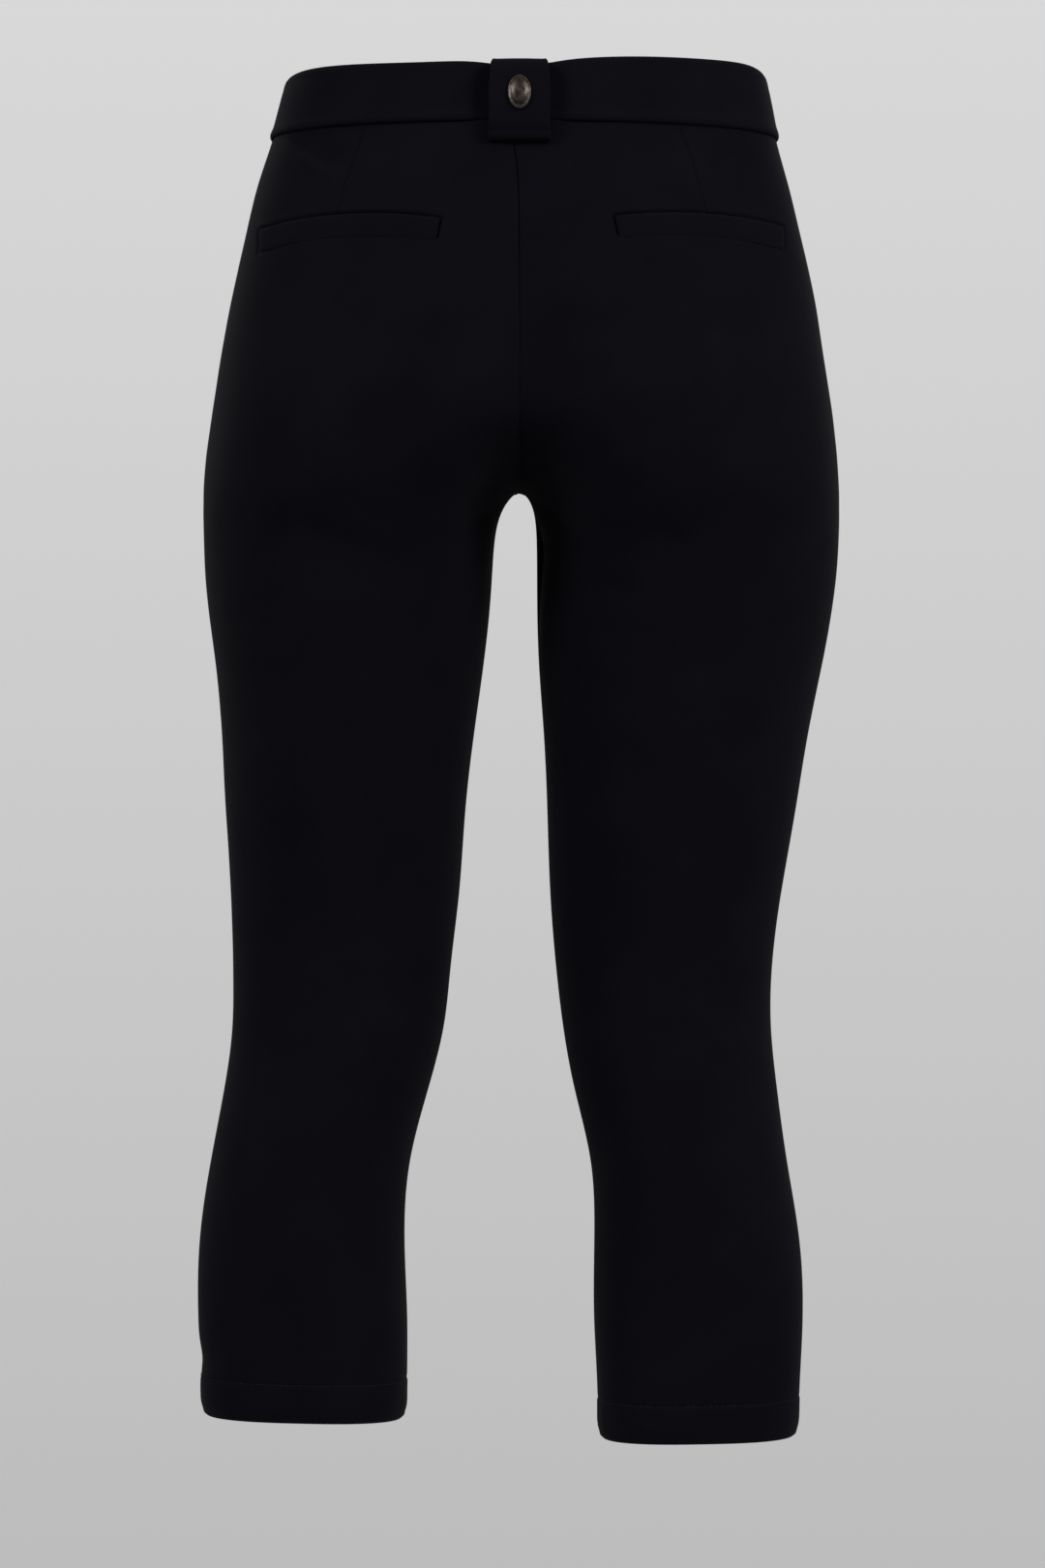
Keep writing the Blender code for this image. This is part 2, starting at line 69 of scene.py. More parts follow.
# How square the ovals are: 2 is an ellipse and more is squarer
BACK_ROUNDNESS, FRONT_ROUNDNESS = 2.2, 2.6
LEG_ROUNDNESS, HEM_ROUNDNESS = 2.05, 2.65
# Over what height they change to the leg's, under the crotch, and to the hem's, under HEM_SQUARE_TOP
LEG_ROUND_RUN = 90.0
HEM_SQUARE_TOP, HEM_SQUARE_RUN = -640.0, 80.0

SECTION_NAMES = ("left_out", "right_out", "left_in", "right_in", "front", "back")
# Height, then the legs' outlines in the order of SECTION_NAMES
SECTIONS = (
    (20, 131, 139, 16, 10, -93, 92),
    (-17, 140, 145.5, 16, 10, -98, 97),
    (-42, 148, 152, 16, 10, -102, 104),
    (-75, 156, 160, 16, 10, -105, 112),
    (-108, 163, 167, 16, 10, -107, 119),
    (-141, 169, 172, 16, 10, -107, 123),
    (-174, 174, 177, 16, 10, -105, 124),
    (-207, 178, 180, 16, 10, -101, 119.5),
    (-225, 178.9, 180.8, 15.7, 10, -98.3, 114),
    (-245, 178.9, 180.8, 15.6, 10, -95.3, 105),
    (-275, 177.5, 178.5, 16.5, 10, -91, 97.5),
    (-311, 173, 172.5, 20, 10.8, -86, 91),
    (-355, 169, 163.7, 26, 13.8, -80, 84),
    (-400, 167, 156.3, 31, 15.8, -74, 76),
    (-443, 165, 148.8, 34.2, 17.3, -67, 67),
    (-487, 163.3, 143.3, 39.2, 20.7, -61, 60),
    (-520, 163, 142.6, 43, 24.6, -57, 60),
    (-553, 167, 145.6, 51, 30.5, -54, 63),
    (-597, 175, 151.5, 62.2, 40.3, -51, 68),
    (-641, 181, 158.3, 65.2, 42.3, -49, 71),
    (-685, 181.8, 160.2, 63.8, 42.3, -48, 70),
    (-730, 180, 158.2, 64, 44.3, -48, 68),
    (-755, 180, 157.7, 64, 44.3, -48, 67),
)

# Large soft folds of each panel: x and height of both ends, half width on each side of the line, depth.
BIG_FOLDS = {
    ("left", "back"): (
        (126, -240, 50, -266, 11, 28, 3.4),
        (140, -398, 136, -498, 24, 24, 2.0),
        # a drag line that falls from the band to the dart, sharp on its outer side
        (126, -22, 102, -42, 13, 1.8, 2.6),
        # the outer side of the leg draws in above its hem
        (188, -706, 166, -704, 9, 9, 1.4),
    ),
    ("right", "back"): ((12, -252, 98, -254, 30, 10, 3.4), (8, -238, 26, -292, 14, 14, 2.6)),
    ("left", "front"): ((44, -203, 100, -176, 20, 20, 2.0), (188, -706, 166, -704, 9, 9, 1.4)),
    ("right", "front"): ((44, -206, 102, -180, 20, 20, 2.0),),
}

# Smaller creases of each panel: distance along the cloth from the centre seam or inseam and height of both
# ends, half width, depth. A positive depth is a trough and a negative one a ridge.
CREASES = {
    ("left", "back"): (
        # a drag line from the waist seam at the hip
        (128, -56, 156, -38, 6, 0.5),
        # under the seat, out from the crotch
        (22, -226, 70, -246, 8, 1.0), (30, -262, 96, -276, 10, -0.8), (74, -300, 120, -290, 9, 0.6),
        (12, -300, 60, -312, 8, 0.5),
        # behind the knee
        (60, -470, 130, -484, 9, 0.5), (46, -512, 112, -504, 8, 0.6), (72, -538, 128, -548, 8, -0.4),
        # above the hem
        (40, -690, 92, -700, 9, 0.35),
    ),
    ("right", "back"): (
        # a drag line from the waist seam at the hip
        (140, -30, 118, -46, 6, 0.4),
        # under the seat, out from the crotch
        (16, -226, 66, -242, 8, 1.4), (24, -262, 92, -264, 10, -0.8), (60, -281, 118, -278, 8, 0.9),
        (70, -338, 122, -342, 9, 0.9),
        # behind the knee
        (50, -486, 116, -478, 9, 0.5), (62, -520, 120, -530, 8, 0.6), (44, -452, 92, -446, 9, 0.4),
        # above the hem
        (60, -704, 118, -698, 9, 0.35),
    ),
    ("left", "front"): (
        # from the crotch to the hip
        (20, -196, 98, -168, 6, 1.3), (26, -216, 104, -202, 7, 1.1), (20, -170, 84, -140, 6, 0.7),
        # at the knee and below it
        (50, -474, 120, -468, 9, 0.7), (46, -516, 110, -522, 9, 0.8), (58, -640, 110, -652, 10, 0.5),
    ),
    ("right", "front"): (
        # from the crotch to the hip
        (22, -200, 96, -170, 6, 1.3), (24, -222, 100, -206, 7, 1.1), (30, -176, 92, -150, 6, 0.7),
        # at the knee and below it
        (54, -470, 124, -480, 9, 0.7), (48, -520, 108, -512, 9, 0.8), (62, -660, 112, -650, 10, 0.5),
    ),
}

# Back darts, from the waist seam to the pocket: height, then how far each dart is from the middle
DARTS = ((-17, 85.5, 88), (-35, 91, 95), (-50, 96.5, 99), (-68, 101, 104))

# Top edge of the waistband: degrees from the centre back to the wearer's left, and height
BAND_TOP = (
    (-180, 10), (-130, 12), (-90, 15.5), (-70, 20.0), (-45, 20.5), (-22, 19.2), (-8, 16.0),
    (0, 13.6), (8, 15.4), (22, 16.3), (50, 17.4), (70, 16.8), (90, 14.0), (130, 11.5),
    (180, 10),
)
# The band's profile: share of its height, and how far it stands out from the panels' line
BAND_PROFILE = (
    (0.10, -1.5), (0.02, -1.4), (-0.005, -0.9), (-0.012, -0.2), (-0.010, 0.5),
    (-0.002, 1.25), (0.020, 1.95), (0.065, 2.30), (0.115, 2.18), (0.15, 1.98), (0.19, 1.82),
    (0.26, 1.76), (0.40, 1.75), (0.55, 1.65), (0.70, 1.45), (0.80, 1.22), (0.835, 1.10),
    (0.87, 1.10), (0.92, 1.0), (0.965, 0.72), (0.99, 0.25), (1.0, -0.35), (0.99, -0.95),
    (0.96, -1.35), (0.90, -1.5), (0.50, -1.5),
)
BAND_INNER_FACE = -1.5
BAND_RUN, BAND_HEIGHT = 2.1, 33.0  # along the cloth, by the degree, and up it
LAP_RAISE = 3.8
LAP_START, LAP_FULL, LAP_END = -50.0, -35.0, 4.0
UNDERLAP_END = -30.0

# Belt loop, from inside the band over its top and down to the foot: height, and distance out from the cloth
LOOP_WIDTH = 34.0
LOOP_PATH = (
    (5.0, -2.9), (11.8, -2.9), (15.0, -2.3), (15.9, 0.4), (15.6, 3.8), (13.4, 6.6),
    (8.0, 8.4), (0.0, 9.0), (-9.0, 8.8), (-17.0, 7.9), (-21.5, 6.6), (-24.0, 5.3),
    (-26.0, 4.9), (-27.4, 3.8), (-27.9, 2.3), (-27.6, 0.9),
)
LOOP_ROLL = 1.3  # radius of the fold at each edge of the strip
LOOP_FACE_SHARES = (0.86, 0.8, 0.7, 0.45, 0.2)  # points of its flat part, by the half width
# The dish of the flat part, how much flatter the inside is, and half the thickness that it keeps
LOOP_DISH, INSIDE_FLATTER, INSIDE_CORE = 0.1, 0.75, 0.1
# How much thinner it is inside the band, narrower at its top fold and towards it, and wider at its foot
INSIDE_THINNER, TOP_PINCH, UPPER_TAPER, FOOT_FLARE = 0.35, 0.05, 0.045, 0.03
TOP_FOLD = 16.4
CLOTH_CEILING = 16.0  # above this height the loop keeps to the cloth's line at it

STUD_WIDTH, STUD_HEIGHT = 13.0, 19.0
STUD_MIDDLE = -2.5
STUD_OFFSET = 10.15
# The stud's rings from its foot to the top of the dome: share of its size, and rise
STUD_RINGS = (
    (1.00, 0.0), (1.00, 0.9), (0.985, 1.25), (0.93, 1.45), (0.87, 1.35), (0.82, 1.05),
    (0.78, 1.05), (0.70, 1.55), (0.55, 2.05), (0.35, 2.4), (0.15, 2.55),
)

# Welts: x of the outer and the inner end, then the opening's height at the outer end, middle and inner end
WELTS = {"left": (146, 43, -73, -68.5, -72.5), "right": (-148, -52, -71.5, -68, -71)}
WELT_HEIGHT = 13.3
WELT_SLANT = 2.7  # how far the foot of a welt's inner end lies towards the side
# How far it stands on the cloth, how uneven it is, and over what share of it each end sinks
WELT_LIFT, WELT_UNEVEN, WELT_END = 0.15, 0.3, 0.025
# The welt's profile: distance down from the opening, and rise
WELT_PROFILE = (
    (0.6, -1.4), (0.15, -1.1), (-0.1, -0.5), (-0.05, 0.1), (0.25, 0.55), (0.9, 0.8),
    (1.8, 0.85), (3.4, 0.78), (6.5, 0.62), (9.8, 0.36), (11.8, 0.12), (12.8, -0.08),
    (13.4, -0.5), (13.2, -1.2), (6.5, -1.35),
)

# How far the centre back seam swings to the left where it comes out under the loop,
# the height over which the swing dies away, and how far it reaches to the sides
SEAM_BEND, SEAM_SETTLES, SEAM_BEND_WIDTH = 4.0, 16.0, 30.0

FLY_EDGE, FLY_STITCH = 3.0, -34.0
FLY_STRAIGHT_END, FLY_END = -122.0, -158.0
# How far it stands out, less at its open and its stitched edge, with a groove along the stitches
FLY_RISE, FLY_EDGE_DROP, FLY_STITCH_DROP = 1.55, 0.7, 0.9
STITCH_INSET, FLY_GROOVE, FLY_UNEVEN = 4.5, (0.3, 0.7), 0.15

# Stitches: length, the space between two and the thread's radius
TOP_STITCH = (2.6, 0.7, 0.2)
WELT_STITCH = (1.9, 1.1, 0.17)
STITCH_SIDES = 6
# A stitch's rings: share of its length, and share of the thread's radius
STITCH_RINGS = ((0.0, 0.25), (0.12, 0.85), (0.5, 1.0), (0.88, 0.85), (1.0, 0.25))


# -------- small helpers
def smooth(x):
    x = np.clip(x, 0.0, 1.0)
    return x * x * (3 - 2 * x)


def ridge(distance, width):
    """A soft bump: 1 at distance 0, and gone at about twice the width."""
    return np.exp(-((distance / width) ** 2))


def groove(distance, depth, width):
    return depth * ridge(distance, width)


def unit(vectors):
    return vectors / np.linalg.norm(vectors, axis=-1, keepdims=True)


def walked(line):
    """Distance along a line of points, from its first one."""
    return np.append(0, np.cumsum(np.linalg.norm(np.diff(line, axis=0), axis=1)))


def halved(low, high, steps, too_far):
    """The furthest value from low towards high that isn't too far, by halving."""
    for _ in range(steps):
        middle = (low + high) / 2
        far = too_far(middle)
        high, low = np.where(far, middle, high), np.where(far, low, middle)
    return low


def curve(xs, ys, x):
    """A natural cubic through the points of a table, held level past its ends."""
    order = np.argsort(xs)
    xs, ys = np.asarray(xs, float)[order], np.asarray(ys, float)[order]
    step, rise = np.diff(xs), np.diff(ys)
    count = len(xs)
    matrix, right = np.eye(count), np.zeros(count)
    for i in range(1, count - 1):
        matrix[i, i - 1 : i + 2] = step[i - 1], 2 * (step[i - 1] + step[i]), step[i]
        right[i] = 6 * (rise[i] / step[i] - rise[i - 1] / step[i - 1])
    bend = np.linalg.solve(matrix, right)
    x = np.clip(x, xs[0], xs[-1])
    i = np.clip(np.searchsorted(xs, x) - 1, 0, count - 2)
    h, a = step[i], (xs[i + 1] - x) / step[i]
    b = 1 - a
    bent = ((a**3 - a) * bend[i] + (b**3 - b) * bend[i + 1]) * h * h / 6
    return a * ys[i] + b * ys[i + 1] + bent


# Lengths of the slow unevenness's waves, and their directions in radians
WAVES = ((151, 0.3), (97, 1.9), (61, 2.8), (43, 0.9), (29, 2.3))
FULL_TURN = 6.2832


def uneven(a, b, seed):
    """Slow unevenness, within -1 and 1, over two distances."""
    total = np.zeros(np.broadcast(a, b).shape)
    for k, (wave, turn) in enumerate(WAVES):
        phase = seed * 1.7 + k * 2.4
        total += np.sin((a * np.cos(turn) + b * np.sin(turn)) * FULL_TURN / wave + phase) / (k + 1.4)
    return total / 2.2


FOLD_BOW = 0.06  # how far a fold's line bows, by its length


def stroke(a, b, a0, b0, a1, b1, half_width, other_half_width=None):
    """How strongly a soft line from (a0, b0) to (a1, b1) shows at each point, 0 to 1."""
    length = np.hypot(a1 - a0, b1 - b0)
    along = ((a - a0) * (a1 - a0) + (b - b0) * (b1 - b0)) / length**2
    bow = FOLD_BOW * length * np.sin(np.clip(along, 0, 1) * np.pi)
    away = ((a - a0) * (b1 - b0) - (b - b0) * (a1 - a0)) / length + bow
    ends = smooth((along + 0.25) / 0.5) * smooth((1.25 - along) / 0.5)
    return ends * ridge(away, np.where(away > 0, half_width, other_half_width or half_width))


def folds(lines, a, b):
    """The depth at each point of a panel's folds."""
    depths = np.zeros(a.shape)
    for *line, depth in lines:
        depths += depth * stroke(a, b, *line)
    return depths


STATION_SPREAD = 0.22  # how much steps grow with the distance from a feature


def stations(start, end, coarse, features):
    """Positions from start to end, close together near each (position, fine step) feature."""
    found = [start]
    while found[-1] < end:
        here = found[-1]
        steps = [fine + STATION_SPREAD * abs(here - place) for place, fine in features]
        found.append(here + min([coarse] + steps))
    found = np.array(found)
    return start + (found - start) * (end - start) / (found[-1] - start)


# -------- the shape of the cloth
FINE_Z = np.linspace(-760.0, 24.0, 1569)  # every half millimetre
HEIGHTS, *OUTLINES = np.array(SECTIONS, float).T
FINE = {name: curve(HEIGHTS, outline, FINE_Z) for name, outline in zip(SECTION_NAMES, OUTLINES)}


def section(name, z):
    return np.interp(z, FINE_Z, FINE[name])


def tube(leg, z):
    """One leg's oval at height z: middle x, half width, middle y, half depth, reach and blend.

    Reach is 0 where both legs share one oval, 1 where their ovals touch and more below that.
    """
    out = section(leg + "_out", z)
    inner_full = section(leg + "_in", z)
    below = np.maximum(CROTCH - z, 0.0)
    inner = inner_full * (1 - np.exp(-below * CROTCH_STEEPNESS / inner_full))
    above = np.clip((z - CROTCH) / PELVIS_RISE, 0.0, 1.0)
    reach = np.where(z > CROTCH, (1 - above) ** PELVIS_POWER, (out + inner) / (out - inner))
    blend = HIP_BLEND * smooth((reach - 0.1) / 0.5) - CROTCH_BLEND_DROP * smooth((reach - 0.65) / 0.35)
    front, back = section("front", z), section("back", z)
    middle_x, half_width = out * reach / (1 + reach), out / (1 + reach)
    return middle_x, half_width, (front + back) / 2, (back - front) / 2, reach, blend + LEAST_BLEND


def roundness(in_front, z):
    n = np.where(in_front, FRONT_ROUNDNESS, BACK_ROUNDNESS)
    n = LEG_ROUNDNESS + (n - LEG_ROUNDNESS) * smooth((z - CROTCH + LEG_ROUND_RUN) / LEG_ROUND_RUN)
    return n + (HEM_ROUNDNESS - LEG_ROUNDNESS) * smooth((HEM_SQUARE_TOP - z) / HEM_SQUARE_RUN)


def level(leg, x, y, z):
    """About the distance outside the cloth, for points on the leg's own side (x from 0 up)."""
    middle_x, half_width, middle_y, half_depth, _, blend = tube(leg, z)
    deep = (y - middle_y) / half_depth
    n = roundness(deep < 0, z)
    deep = np.abs(deep) ** n

    def oval(across):
        return ((np.abs(across - middle_x) / half_width) ** n + deep) ** (1 / n)

    own, other = (oval(x) - 1) * half_depth, (oval(-x) - 1) * half_depth
    near = np.maximum(blend - np.abs(own - other), 0.0) / blend
    return np.minimum(own, other) - near * near * blend / 4


def seam_angle(leg, face, z):
    """Direction from the leg's middle to the centre seam, or to the inseam below the crotch, in radians."""
    _, _, _, half_depth, reach, blend = tube(leg, z)
    n = roundness(face == "front", z)
    rest = np.maximum((1 + blend / (4 * half_depth)) ** n - reach**n, 0.0) ** (1 / n)
    angle = np.arctan2(rest, -reach)
    return -angle if face == "front" else angle


# How far along a ray the cloth can lie, by the oval's own distance
RAY_LOW, RAY_HIGH = 0.9, 1.7
RAY_STEPS = 26


def on_ray(leg, angle, z):
    """The cloth's outside in a direction from the leg's middle, in radians, on the leg's own side."""
    middle_x, half_width, middle_y, half_depth = tube(leg, z)[:4]
    across, deep = half_width * np.cos(angle), half_depth * np.sin(angle)
    to_centre = np.where(across < -1e-6, middle_x / np.maximum(-across, 1e-6), RAY_HIGH)

    def place(r):
        return middle_x + across * r, middle_y + deep * r, z

    low, high = np.full(z.shape, RAY_LOW), np.clip(to_centre, RAY_LOW, RAY_HIGH)
    return np.stack(place(halved(low, high, RAY_STEPS, lambda r: level(leg, *place(r)) > 0)), axis=-1)


def surface(leg, face, w, z):
    """Points of the cloth's outside, w from 0 at the centre seam or inseam to 1 at the side seam."""
    w, z = np.broadcast_arrays(np.asarray(w, float), np.asarray(z, float))
    start = seam_angle(leg, face, z)
    return on_ray(leg, start + (SIDE_SEAM_ANGLE - start) * w, z)


SLOPE_STEP = 0.2


def outward(leg, points):
    """Unit directions out of the cloth, from the slopes of the level round each point."""
    slopes = []
    for step in np.eye(3) * SLOPE_STEP:
        ahead, behind = points + step, points - step
        slopes.append(level(leg, *np.moveaxis(ahead, -1, 0)) - level(leg, *np.moveaxis(behind, -1, 0)))
    return unit(np.stack(slopes, axis=-1))


def mirrored(leg, points):
    """Points of the leg's own side, or directions, at the wearer's left or right."""
    return points * np.array([SIGN[leg], 1.0, 1.0])


def both_sides(side, find):
    """Points found on the leg that side's sign picks, the left from 0 up, and their outward directions."""
    points, directions = np.zeros(side.shape + (3,)), np.zeros(side.shape + (3,))
    for leg in LEGS:
        found = find(leg)
        mine = (side >= 0) if leg == "left" else (side < 0)
        points[mine] = mirrored(leg, found)[mine]
        directions[mine] = mirrored(leg, outward(leg, found))[mine]
    return points, directions


DEEPEST = 170.0  # past the cloth, from its middle to the front or back
DEPTH_STEPS = 30


def at(x, z, face):
    """Points and outward directions on the cloth's front or back at the given x and height."""
    x, z = np.broadcast_arrays(np.asarray(x, float), np.asarray(z, float))

    def find(leg):
        middle_y = tube(leg, z)[2]
        far_y = middle_y + (DEEPEST if face == "back" else -DEEPEST)
        y = halved(middle_y, far_y, DEPTH_STEPS, lambda y: level(leg, np.abs(x), y, z) > 0)
        return np.stack([np.abs(x), y, z], axis=-1)

    return both_sides(x, find)


def around(direction, z):
    """Points and level outward directions of the waist, by degrees from the centre back."""
    direction, z = np.broadcast_arrays(np.asarray(direction, float), np.asarray(z, float))
    turned = (direction + 180) % 360 - 180
    points, directions = both_sides(
        turned, lambda leg: on_ray(leg, np.pi / 2 - np.radians(np.abs(turned)), z)
    )
    directions[..., 2] = 0
    return points, unit(directions)


# -------- mesh helpers
def grid_faces(points, outward_y):
    """Quads of a grid of points, wound so that the grid's middle faces outward_y along Y."""
    rows, columns = points.shape[:2]
    i, j = rows // 2, columns // 2
    across, down = points[i, j + 1] - points[i, j], points[i + 1, j] - points[i, j]
    i, j = np.meshgrid(np.arange(rows - 1), np.arange(columns - 1), indexing="ij")
    a = (i * columns + j).ravel()
    faces = np.stack([a, a + 1, a + columns + 1, a + columns], axis=1)
    return faces[:, ::-1] if np.cross(across, down)[1] * outward_y < 0 else faces


def sweep_faces(count, around_it, turned=False, first=0):
    """Faces of a closed profile of around_it points that is carried along count stations."""
    faces = []
    for i in range(count - 1):
        for j in range(around_it):
            k = (j + 1) % around_it
            a, b = first + i * around_it, first + (i + 1) * around_it
            faces.append((a + j, b + j, b + k, a + k))
    end = first + count * around_it
    faces.append(tuple(range(first, first + around_it)))
    faces.append(tuple(range(end - 1, end - around_it - 1, -1)))
    return [f[::-1] for f in faces] if turned else faces


def new_object(name, data):
    obj = bpy.data.objects.new(name, data)
    bpy.context.scene.collection.objects.link(obj)
    return obj


def mesh_object(name, points, faces, material, uv=None):
    mesh = bpy.data.meshes.new(name)
    points = np.asarray(points, float).reshape(-1, 3) * MM
    mesh.from_pydata(points.tolist(), [], [list(map(int, f)) for f in faces])
    if uv is not None:
        layer = mesh.uv_layers.new(name="cloth")
        loops = np.zeros(len(mesh.loops), int)
        mesh.loops.foreach_get("vertex_index", loops)
        layer.data.foreach_set("uv", (np.asarray(uv, float).reshape(-1, 2) * MM)[loops].ravel())
    mesh.polygons.foreach_set("use_smooth", np.ones(len(mesh.polygons), bool))
    mesh.materials.append(material)
    obj = new_object(name, mesh)
    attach(obj, "root")
    return obj


def uv_grid(a, b):
    """Cloth coordinates of every point, from one of each direction."""
    return np.stack(np.broadcast_arrays(a, b), axis=-1)


def cloth_piece(part, points, faces, uv, thickness=None):
    """The cloth in place of the CAD node part, with its flat cloth coordinates in metres."""
    obj = mesh_object(f"{part}_cloth", points, faces, KNIT[part], uv)
    if thickness is not None:
        solid = obj.modifiers.new("thickness", "SOLIDIFY")
        solid.thickness = thickness * MM
        solid.offset = -1.0
    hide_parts(part)


# -------- materials
KNIT_DARK, KNIT_LIGHT = 0.0024, 0.0031
KNIT_TINT = (1.0, 0.93, 1.46)
# Painted shade: on the picked panels the sheen falls towards the inseam over this width, down to this share
# of it
INSEAM_SHADE_WIDTH = 0.07  # metres from the inseam
INSEAM_SHADE_SHEEN = 0.1  # share of the nap that is left at the inseam


def new_material(name):
    """A material, its node tree and its shader."""
    material = bpy.data.materials.new(name)
    material.use_nodes = True
    return material, material.node_tree, material.node_tree.nodes["Principled BSDF"]


def set_inputs(node, values):
    for name, value in values.items():
        node.inputs[name].default_value = value


def add_node(tree, kind, values=None):
    node = tree.nodes.new("ShaderNode" + kind)
    set_inputs(node, values or {})
    return node


def wire(node, output, other, its_input):
    node.id_data.links.new(node.outputs[output], other.inputs[its_input])


def add_ramp(tree, stops):
    """A colour ramp through (position, colour) stops."""
    ramp = add_node(tree, "ValToRGB")
    elements = ramp.color_ramp.elements
    elements[0].position, elements[0].color = stops[0]
    elements[1].position, elements[1].color = stops[-1]
    for position, colour in stops[1:-1]:
        elements.new(position).color = colour
    return ramp


def add_wave(tree, direction, values):
    wave = add_node(tree, "TexWave", values)
    wave.bands_direction = direction
    return wave


def add_math(tree, operation, a, b):
    """The result of two sockets."""
    maths = add_node(tree, "Math")
    maths.operation = operation
    for socket, its_input in zip((a, b), maths.inputs):
        tree.links.new(socket, its_input)
    return maths.outputs[0]


def knit_material(name, tone=1.0, sheen=0.0080, inseam_shade=False):
    """Black double-knit: fine wales and courses, a soft nap and slow unevenness.

    On the panels picked for it, the sheen is turned down towards the inseam as painted shade, where the legs
    shadow each other.
    """
    material, tree, shader = new_material(name)
    set_inputs(shader, {"Roughness": 0.78, "Specular IOR Level": 0.006})
    set_inputs(shader, {"Sheen Weight": sheen, "Sheen Roughness": 0.60, "Sheen Tint": (0.78, 0.74, 0.80, 1)})
    place = add_node(tree, "TexCoord")
    cloud = add_node(tree, "TexNoise", {"Scale": 26.0, "Detail": 3.0})
    wire(place, "Object", cloud, "Vector")
    # Painted shade: the sheen weight falls from full to a tenth towards the inseam
    if inseam_shade:
        across = add_node(tree, "SeparateXYZ")
        wire(place, "UV", across, "Vector")
        left = {"From Max": INSEAM_SHADE_WIDTH, "To Min": INSEAM_SHADE_SHEEN * sheen, "To Max": sheen}
        shaded_sheen = add_node(tree, "MapRange", left)
        wire(across, "X", shaded_sheen, "Value")
        wire(shaded_sheen, "Result", shader, "Sheen Weight")
    dark, light = (
        tuple(shade * tone * tint for tint in KNIT_TINT) + (1,) for shade in (KNIT_DARK, KNIT_LIGHT)
    )
    ramp = add_ramp(tree, ((0.30, dark), (0.72, light)))
    wire(cloud, "Fac", ramp, "Fac")
    wire(ramp, "Color", shader, "Base Color")

    wales = add_wave(tree, "X", {"Scale": 340.0, "Distortion": 0.6, "Detail": 1.0})
    courses = add_wave(tree, "Y", {"Scale": 420.0, "Distortion": 0.8})
    wire(place, "UV", wales, "Vector")
    wire(place, "UV", courses, "Vector")
    knit = add_math(tree, "MULTIPLY", wales.outputs["Fac"], courses.outputs["Fac"])
    nap = add_node(tree, "TexNoise", {"Scale": 900.0, "Detail": 2.0})
    wire(place, "Object", nap, "Vector")
    bump = add_node(tree, "Bump", {"Strength": 0.22, "Distance": 0.00025})
    tree.links.new(add_math(tree, "ADD", knit, nap.outputs["Fac"]), bump.inputs["Height"])
    wire(bump, "Normal", shader, "Normal")
    return material


def metal_material(name):
    """Dark metal, a little browner and smoother in places."""
    material, tree, shader = new_material(name)
    set_inputs(shader, {"Metallic": 1.0})
    place = add_node(tree, "TexCoord")
    wear = add_node(tree, "TexNoise", {"Scale": 420.0, "Detail": 4.0})
    wire(place, "Object", wear, "Vector")
    ramp = add_ramp(tree, ((0.35, (0.018, 0.0145, 0.012, 1)), (0.75, (0.06, 0.051, 0.045, 1))))
    wire(wear, "Fac", ramp, "Fac")
    wire(ramp, "Color", shader, "Base Color")
    rough = add_node(tree, "MapRange", {"To Min": 0.26, "To Max": 0.46})
    wire(wear, "Fac", rough, "Value")
    wire(rough, "Result", shader, "Roughness")
    return material


# -------- rows and columns of the panels
# Even scales that place a panel's rows above the crotch, and its columns
UPPER_RUN, ACROSS = 305.0, 240.0
ROW_STEP, COLUMN_STEP = 3.6, 3.0
# Places of the dart and of two finer columns beside it on the scale across
DART_PLACE, BESIDE_DART = 108.0, (16.0, 30.0)
# How far from a seam and from the dart the columns keep a fixed distance
SEAM_MARGIN, DART_MARGIN = 9.0, 7.0
# Finer rows on a back, at the dart's foot and the pocket's edges: distance under the waist seam, and step
BACK_ROWS = [(6, 0.9), (16, 0.9), (51, 0.8), (60, 0.8), (68, 0.8), (76, 0.9)]
# Heights of the pocket's two ends, half way down the welt
OUTER_END_HEIGHT, INNER_END_HEIGHT = -80.0, -79.0
DRAW_LEVEL = 0.55  # the share of the leg by which a row is as low at the side as at the inseam
PLAIN_MIDDLE = 0.45  # w of a front's middle line
# Where the dart's line is worked out to, and from where down the middle line keeps its w
DART_LOWEST, DART_LINE_END = -150.0, -120.0
SPEED_STEP = 0.01  # of w, to measure how much cloth there is for each unit of it


def centre_line(leg, face, shares):
    """Heights along the centre seam from the waist (0) to the crotch (1)."""
    lowest = CROTCH - MEETING_DROP
    z = lowest + (PANEL_TOP - lowest) * np.linspace(1, 0, 1500) ** 2
    length = walked(surface(leg, face, np.zeros(z.shape), z))
    return np.interp(shares * length[-1], length, z)


def hem_lift(leg, w):
    inner, outer = HEM_LIFT[leg]
    return inner + (outer - inner) * (1 - np.cos(np.pi * w)) / 2


def panel_rows(leg, face):
    """Heights at the centre or inseam, and at the side seam, of every row, and the row of the crotch."""
    hem = HEM[leg]
    extra = BACK_ROWS if face == "back" else []
    s = stations(0, UPPER_RUN, ROW_STEP, [(0, 0.4), (UPPER_RUN, 1.2)] + extra)
    inner = centre_line(leg, face, s / UPPER_RUN)
    outer = PANEL_TOP + (SIDE_AT_CROTCH_ROW - PANEL_TOP) * s / UPPER_RUN
    drop_in, drop_out = inner[-1] - hem, outer[-1] - hem
    s = stations(0, drop_in, ROW_STEP, [(0, 0.6), (drop_in - HEM_DEPTH, 0.35), (drop_in, 0.2)])[1:]
    near_in, near_out = inner[-1] - s, outer[-1] - drop_out * s / drop_in
    # The side starts lower, and the rows draw level before the hem
    near_out = near_out + (near_in - near_out) * smooth(s / drop_in / DRAW_LEVEL)
    return np.append(inner, near_in), np.append(outer, near_out), len(inner) - 1


def row_height(inner, outer, w):
    """Height at w of a row that runs from inner at the centre or inseam to outer at the side seam."""
    return inner + (outer - inner) * w


